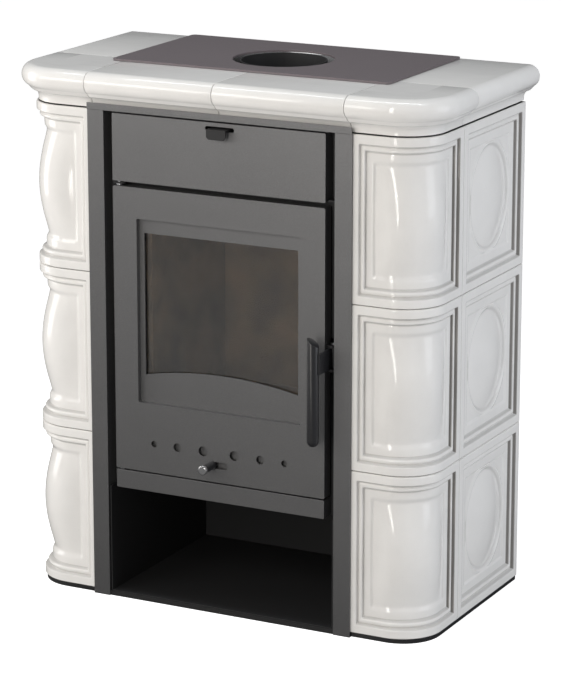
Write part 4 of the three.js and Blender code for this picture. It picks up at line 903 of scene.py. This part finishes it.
class StoveSeal(bpy.types.Operator):
    """Braided rope seal on the back of the door: a tube round a rounded rectangle whose radius is
    1 - swell + swell * sqrt(|sin(2 turn + 2 pi along / lay)|) of the half width"""

    bl_idname = "stove.seal"
    bl_label = "Rope Seal"

    def execute(self, context):
        low, high = np.array(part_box("door_seal"))
        inset = np.array([SEAL_HALF_WIDTH, 0, SEAL_HALF_WIDTH])
        (x0, _, z0), (x1, _, z1) = low + inset, high - inset
        radius = SEAL_CORNER
        turn = np.linspace(0, math.pi / 2, 10) + math.pi / 2 * np.array([-1, 0, 1, 2])[:, None]
        centre_x = np.array([x1 - radius, x1 - radius, x0 + radius, x0 + radius])[:, None]
        centre_z = np.array([z0 + radius, z1 - radius, z1 - radius, z0 + radius])[:, None]
        line = np.stack([centre_x + radius * np.cos(turn), centre_z + radius * np.sin(turn)], axis=-1)
        closed = np.concatenate([line.reshape(-1, 2), line[0, :1]])
        walked = walk(closed)
        places = np.linspace(0, walked[-1], ROPE_RINGS, endpoint=False)
        x, z = np.interp(places, walked, closed[:, 0]), np.interp(places, walked, closed[:, 1])
        dx, dz = np.roll(x, -1) - np.roll(x, 1), np.roll(z, -1) - np.roll(z, 1)
        size = np.hypot(dx, dz)
        nx, nz = dz / size, -dx / size
        around = np.linspace(0, 2 * math.pi, ROPE_SIDES, endpoint=False)
        strands = np.abs(np.sin(2 * around[None, :] + places[:, None] * 2 * math.pi / ROPE_LAY))
        swell = 1 - ROPE_SWELL + ROPE_SWELL * np.sqrt(strands)
        out = SEAL_HALF_WIDTH * swell * np.cos(around)
        y = (low[1] + high[1]) / 2 + (high[1] - low[1]) / 2 * swell * np.sin(around)
        vertices = np.stack([x[:, None] + nx[:, None] * out, y, z[:, None] + nz[:, None] * out], axis=-1)
        vertices = vertices.reshape(-1, 3)
        rings = np.arange(len(vertices)).reshape(-1, ROPE_SIDES)
        pairs = zip(np.roll(rings, 1, axis=0), rings)
        faces = np.concatenate([ring_faces(first, second) for first, second in pairs]).tolist()
        fibre = finish(rope)
        add_piece("door_rope", vertices, faces, fibre, "door", ["door_seal"], smooth_angle=60)
        return {"FINISHED"}


class StoveHandle(bpy.types.Operator):
    """Upright handle bar with its arm, bracket and pivot. The bar's rings have radius r sin(a) at
    height r (1 - cos(a)) in its domed foot, and its top slants by GRIP_SLOPE"""

    bl_idname = "stove.handle"
    bl_label = "Door Handle"

    def execute(self, context):
        black = finish(satin_black)
        low, high = np.array(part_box("handle_bar"))
        radius = (high[0] - low[0]) / 2
        centre = (low + high) / 2
        drawn, sunk = np.array(GRIP_EDGE).T
        turn = np.linspace(0, 2 * math.pi, GRIP_SIDES, endpoint=False)
        dome = np.linspace(GRIP_START, math.pi / 2, 10)
        radii = np.concatenate([radius * np.sin(dome), radius - drawn])
        x = centre[0] + radii[:, None] * np.cos(turn)
        y = centre[1] + radii[:, None] * np.sin(turn)
        foot = np.repeat((low[2] + radius * (1 - np.cos(dome)))[:, None], GRIP_SIDES, axis=1)
        slope = math.tan(math.radians(GRIP_SLOPE))
        drop = slope * (x[len(dome) :] - centre[0] + radius)
        z = np.concatenate([foot, high[2] - sunk[:, None] - GRIP_SEAT - drop])
        vertices = np.stack([x, y, z], axis=-1).reshape(-1, 3)
        rings = np.arange(len(vertices)).reshape(-1, GRIP_SIDES)
        faces = [*tube_faces(rings), rings[-1].tolist(), rings[0][::-1].tolist()]
        add_piece("handle_grip", vertices, faces, black, "door_handle", ["handle_bar"])
        eased_copy("handle_arm", black, easing=0.0005)
        eased_copy("handle_bracket", finish(black_paint), easing=0.0004)
        eased_copy("handle_pivot_pin", finish(brushed_steel), easing=0.0003)
        return {"FINISHED"}


class StoveAirControls(bpy.types.Operator):
    """Primary air slider with its knob, and the secondary air tab above the door"""

    bl_idname = "stove.air_controls"
    bl_label = "Air Controls"

    def execute(self, context):
        eased_copy("air_slider", finish(anthracite), easing=0.0002)
        eased_copy("air_rod", finish(satin_black), easing=0.0004)
        eased_copy("air_cap", finish(chrome), easing=0.0004, segments=3)
        eased_copy("secondary_air_slider", finish(black_paint), easing=0.0004)
        return {"FINISHED"}


# ---- stage


MIDDLE = (0, 0, 0.48)

# softboxes: azimuth, elevation and distance; width and height; colour; what they face
LIGHTS = {
    "key": ((2, 24, 2.6), (0.3, 1.3), (1.0, 0.955, 0.90), MIDDLE),
    "low": ((2, 2, 2.6), (0.3, 0.9), (1.0, 0.965, 0.92), MIDDLE),
    "sheen": ((-36, 10, 1.9), (1.3, 0.5), (1.0, 0.97, 0.94), (0, 0, 0.95)),
    "top": ((0, 78, 1.6), (2.4, 0.2), (0.90, 0.95, 1.0), (0, 0, 0.9)),
    "side": ((-76, 8, 2.6), (1.0, 1.8), (1.0, 0.99, 0.975), MIDDLE),
    "fill": ((95, 14, 3.0), (1.2, 1.9), (0.90, 0.935, 1.0), MIDDLE),
}
FILL_GLOSS = 0.36  # share of the fill that shows as a highlight; the rest only lights
CAMERA_PLACE = (27.234, 14.253, 5.2469)  # azimuth, elevation and distance
CAMERA_TARGET = (0.0272, 0, 0.4993)
CAMERA_SHIFT = -0.04  # as a share of the picture's longer side
WORLD_LIGHT = 0.22  # brightness of the world to everything but the camera
FLOOR_REACH = 14  # metres from the middle to its edges
FLOOR_FADE = (0.6, 4.0)  # metres over which its painted darker reflection grows from dim to full
FLOOR_DIM = 0.12  # share of its colour that is reflected near the stove: painted shade in the reflections
FLOOR_GLOW = 0.85  # light that it adds where the camera sees it


def aimed(name, data, place, target):
    """An object on a sphere round the target, turned to face it. Its place is the azimuth from the
    front to the right and the elevation, both in degrees, and the distance."""
    a, e = math.radians(place[0]), math.radians(place[1])
    away = Vector((math.sin(a) * math.cos(e), -math.cos(a) * math.cos(e), math.sin(e)))
    holder = bpy.data.objects.new(name, data)
    holder.location = Vector(target) + away * place[2]
    holder.rotation_mode = "QUATERNION"
    holder.rotation_quaternion = away.to_track_quat("Z", "Y")
    bpy.context.scene.collection.objects.link(holder)
    return holder


def soft_box(name, power):
    """The rectangular light of that name in LIGHTS."""
    place, (width, height), tint, target = LIGHTS[name]
    lamp = bpy.data.lights.new(name, "AREA")
    lamp.shape = "RECTANGLE"
    lamp.size, lamp.size_y = width, height
    lamp.energy = power
    lamp.color = tint
    return aimed(name, lamp, place, target)


class StoveStudio(bpy.types.Operator):
    """Pale floor, plain soft light and the camera"""

    bl_idname = "stove.studio"
    bl_label = "Studio"

    def execute(self, context):
        scene = context.scene
        settings = scene.stove_stage
        self.floor(settings)
        self.world(scene)
        for name in ("key", "low", "sheen", "top", "side"):
            soft_box(name, getattr(settings, name))
        for share, shiny in ((FILL_GLOSS, True), (1 - FILL_GLOSS, False)):
            soft_box("fill", settings.fill * share).visible_glossy = shiny
        camera = bpy.data.cameras.new("camera")
        camera.lens = settings.lens
        camera.shift_y = CAMERA_SHIFT
        camera.clip_end = 100
        scene.camera = aimed("camera", camera, CAMERA_PLACE, CAMERA_TARGET)
        scene.view_settings.view_transform = "Standard"
        return {"FINISHED"}

    def floor(self, settings):
        """A large floor. What the camera sees of it is lifted to white, and it keeps the shadow. In
        reflections it is painted darker near the stove.
        """
        mesh = bpy.data.meshes.new("floor")
        corners = [(x * FLOOR_REACH, y * FLOOR_REACH, 0) for x, y in ((-1, -1), (1, -1), (1, 1), (-1, 1))]
        mesh.from_pydata(corners, [], [(0, 1, 2, 3)])
        plane = bpy.data.objects.new("floor", mesh)
        bpy.context.scene.collection.objects.link(plane)
        material, shader, add, place = node_tools("floor")
        rays = add("ShaderNodeLightPath").outputs
        away = add("ShaderNodeVectorMath", {0: place}, operation="LENGTH").outputs["Value"]
        far = ranged(add, away, *FLOOR_FADE, 0, 1)
        # painted shade: reflections see the floor darker near the stove
        painted_dim_reflection = blended(add, far, scaled(settings.floor, FLOOR_DIM), settings.floor)
        views = {0: rays["Is Camera Ray"], 1: rays["Is Transmission Ray"]}
        seen = add("ShaderNodeMath", views, operation="MAXIMUM").outputs[0]
        connect(shader, {
            "Base Color": blended(add, rays["Is Glossy Ray"], settings.floor, painted_dim_reflection),
            "Roughness": 0.9,
            "Specular IOR Level": 0,
            "Emission Color": (1, 1, 1, 1),
            "Emission Strength": add(
                "ShaderNodeMath", {0: seen, 1: FLOOR_GLOW}, operation="MULTIPLY").outputs[0],
        })
        mesh.materials.append(material)

    def world(self, scene):
        """White to the camera, and a plain dimmer light all round for everything else."""
        world = bpy.data.worlds.new("studio")
        scene.world = world
        world.use_nodes = True
        tree = world.node_tree
        rays = tree.nodes.new("ShaderNodeLightPath").outputs
        spread = tree.nodes.new("ShaderNodeMapRange")
        connect(spread, {"Value": rays["Is Camera Ray"], "To Min": WORLD_LIGHT, "To Max": 1})
        strength = spread.outputs["Result"]
        connect(tree.nodes["Background"], {"Color": (1, 1, 1, 1), "Strength": strength})


# ---- add-on

OPERATORS = (
    StoveStudio,
    StoveCornerTiles,
    StoveSideTiles,
    StoveCornice,
    StoveShell,
    StoveFirebox,
    StoveDoor,
    StoveSeal,
    StoveHandle,
    StoveAirControls,
)


class StovePanel(bpy.types.Panel):
    """Sidebar panel with the stove's sizes, colours and pieces"""

    bl_idname = "STOVE_PT_panel"
    bl_label = "Tiled Stove"
    bl_space_type = "VIEW_3D"
    bl_region_type = "UI"
    bl_category = "Stove"

    def draw(self, context):
        for setting, group in SETTINGS.items():
            box = self.layout.box()
            for name in group.__annotations__:
                box.prop(getattr(context.scene, setting), name)
        for operator in OPERATORS:
            self.layout.operator(operator.bl_idname)


CLASSES = (*SETTINGS.values(), *OPERATORS, StovePanel)


def register():
    """Registers the classes and hangs the settings on the scene."""
    for cls in CLASSES:
        bpy.utils.register_class(cls)
    for setting, group in SETTINGS.items():
        setattr(bpy.types.Scene, setting, PointerProperty(type=group))


def unregister():
    """Takes the settings and classes off again."""
    for setting in SETTINGS:
        delattr(bpy.types.Scene, setting)
    for cls in reversed(CLASSES):
        bpy.utils.unregister_class(cls)


def main():
    """Builds the whole stove and its studio."""
    register()
    for operator in OPERATORS:
        group, action = operator.bl_idname.split(".")
        getattr(getattr(bpy.ops, group), action)()


if __name__ == "__main__":
    main()
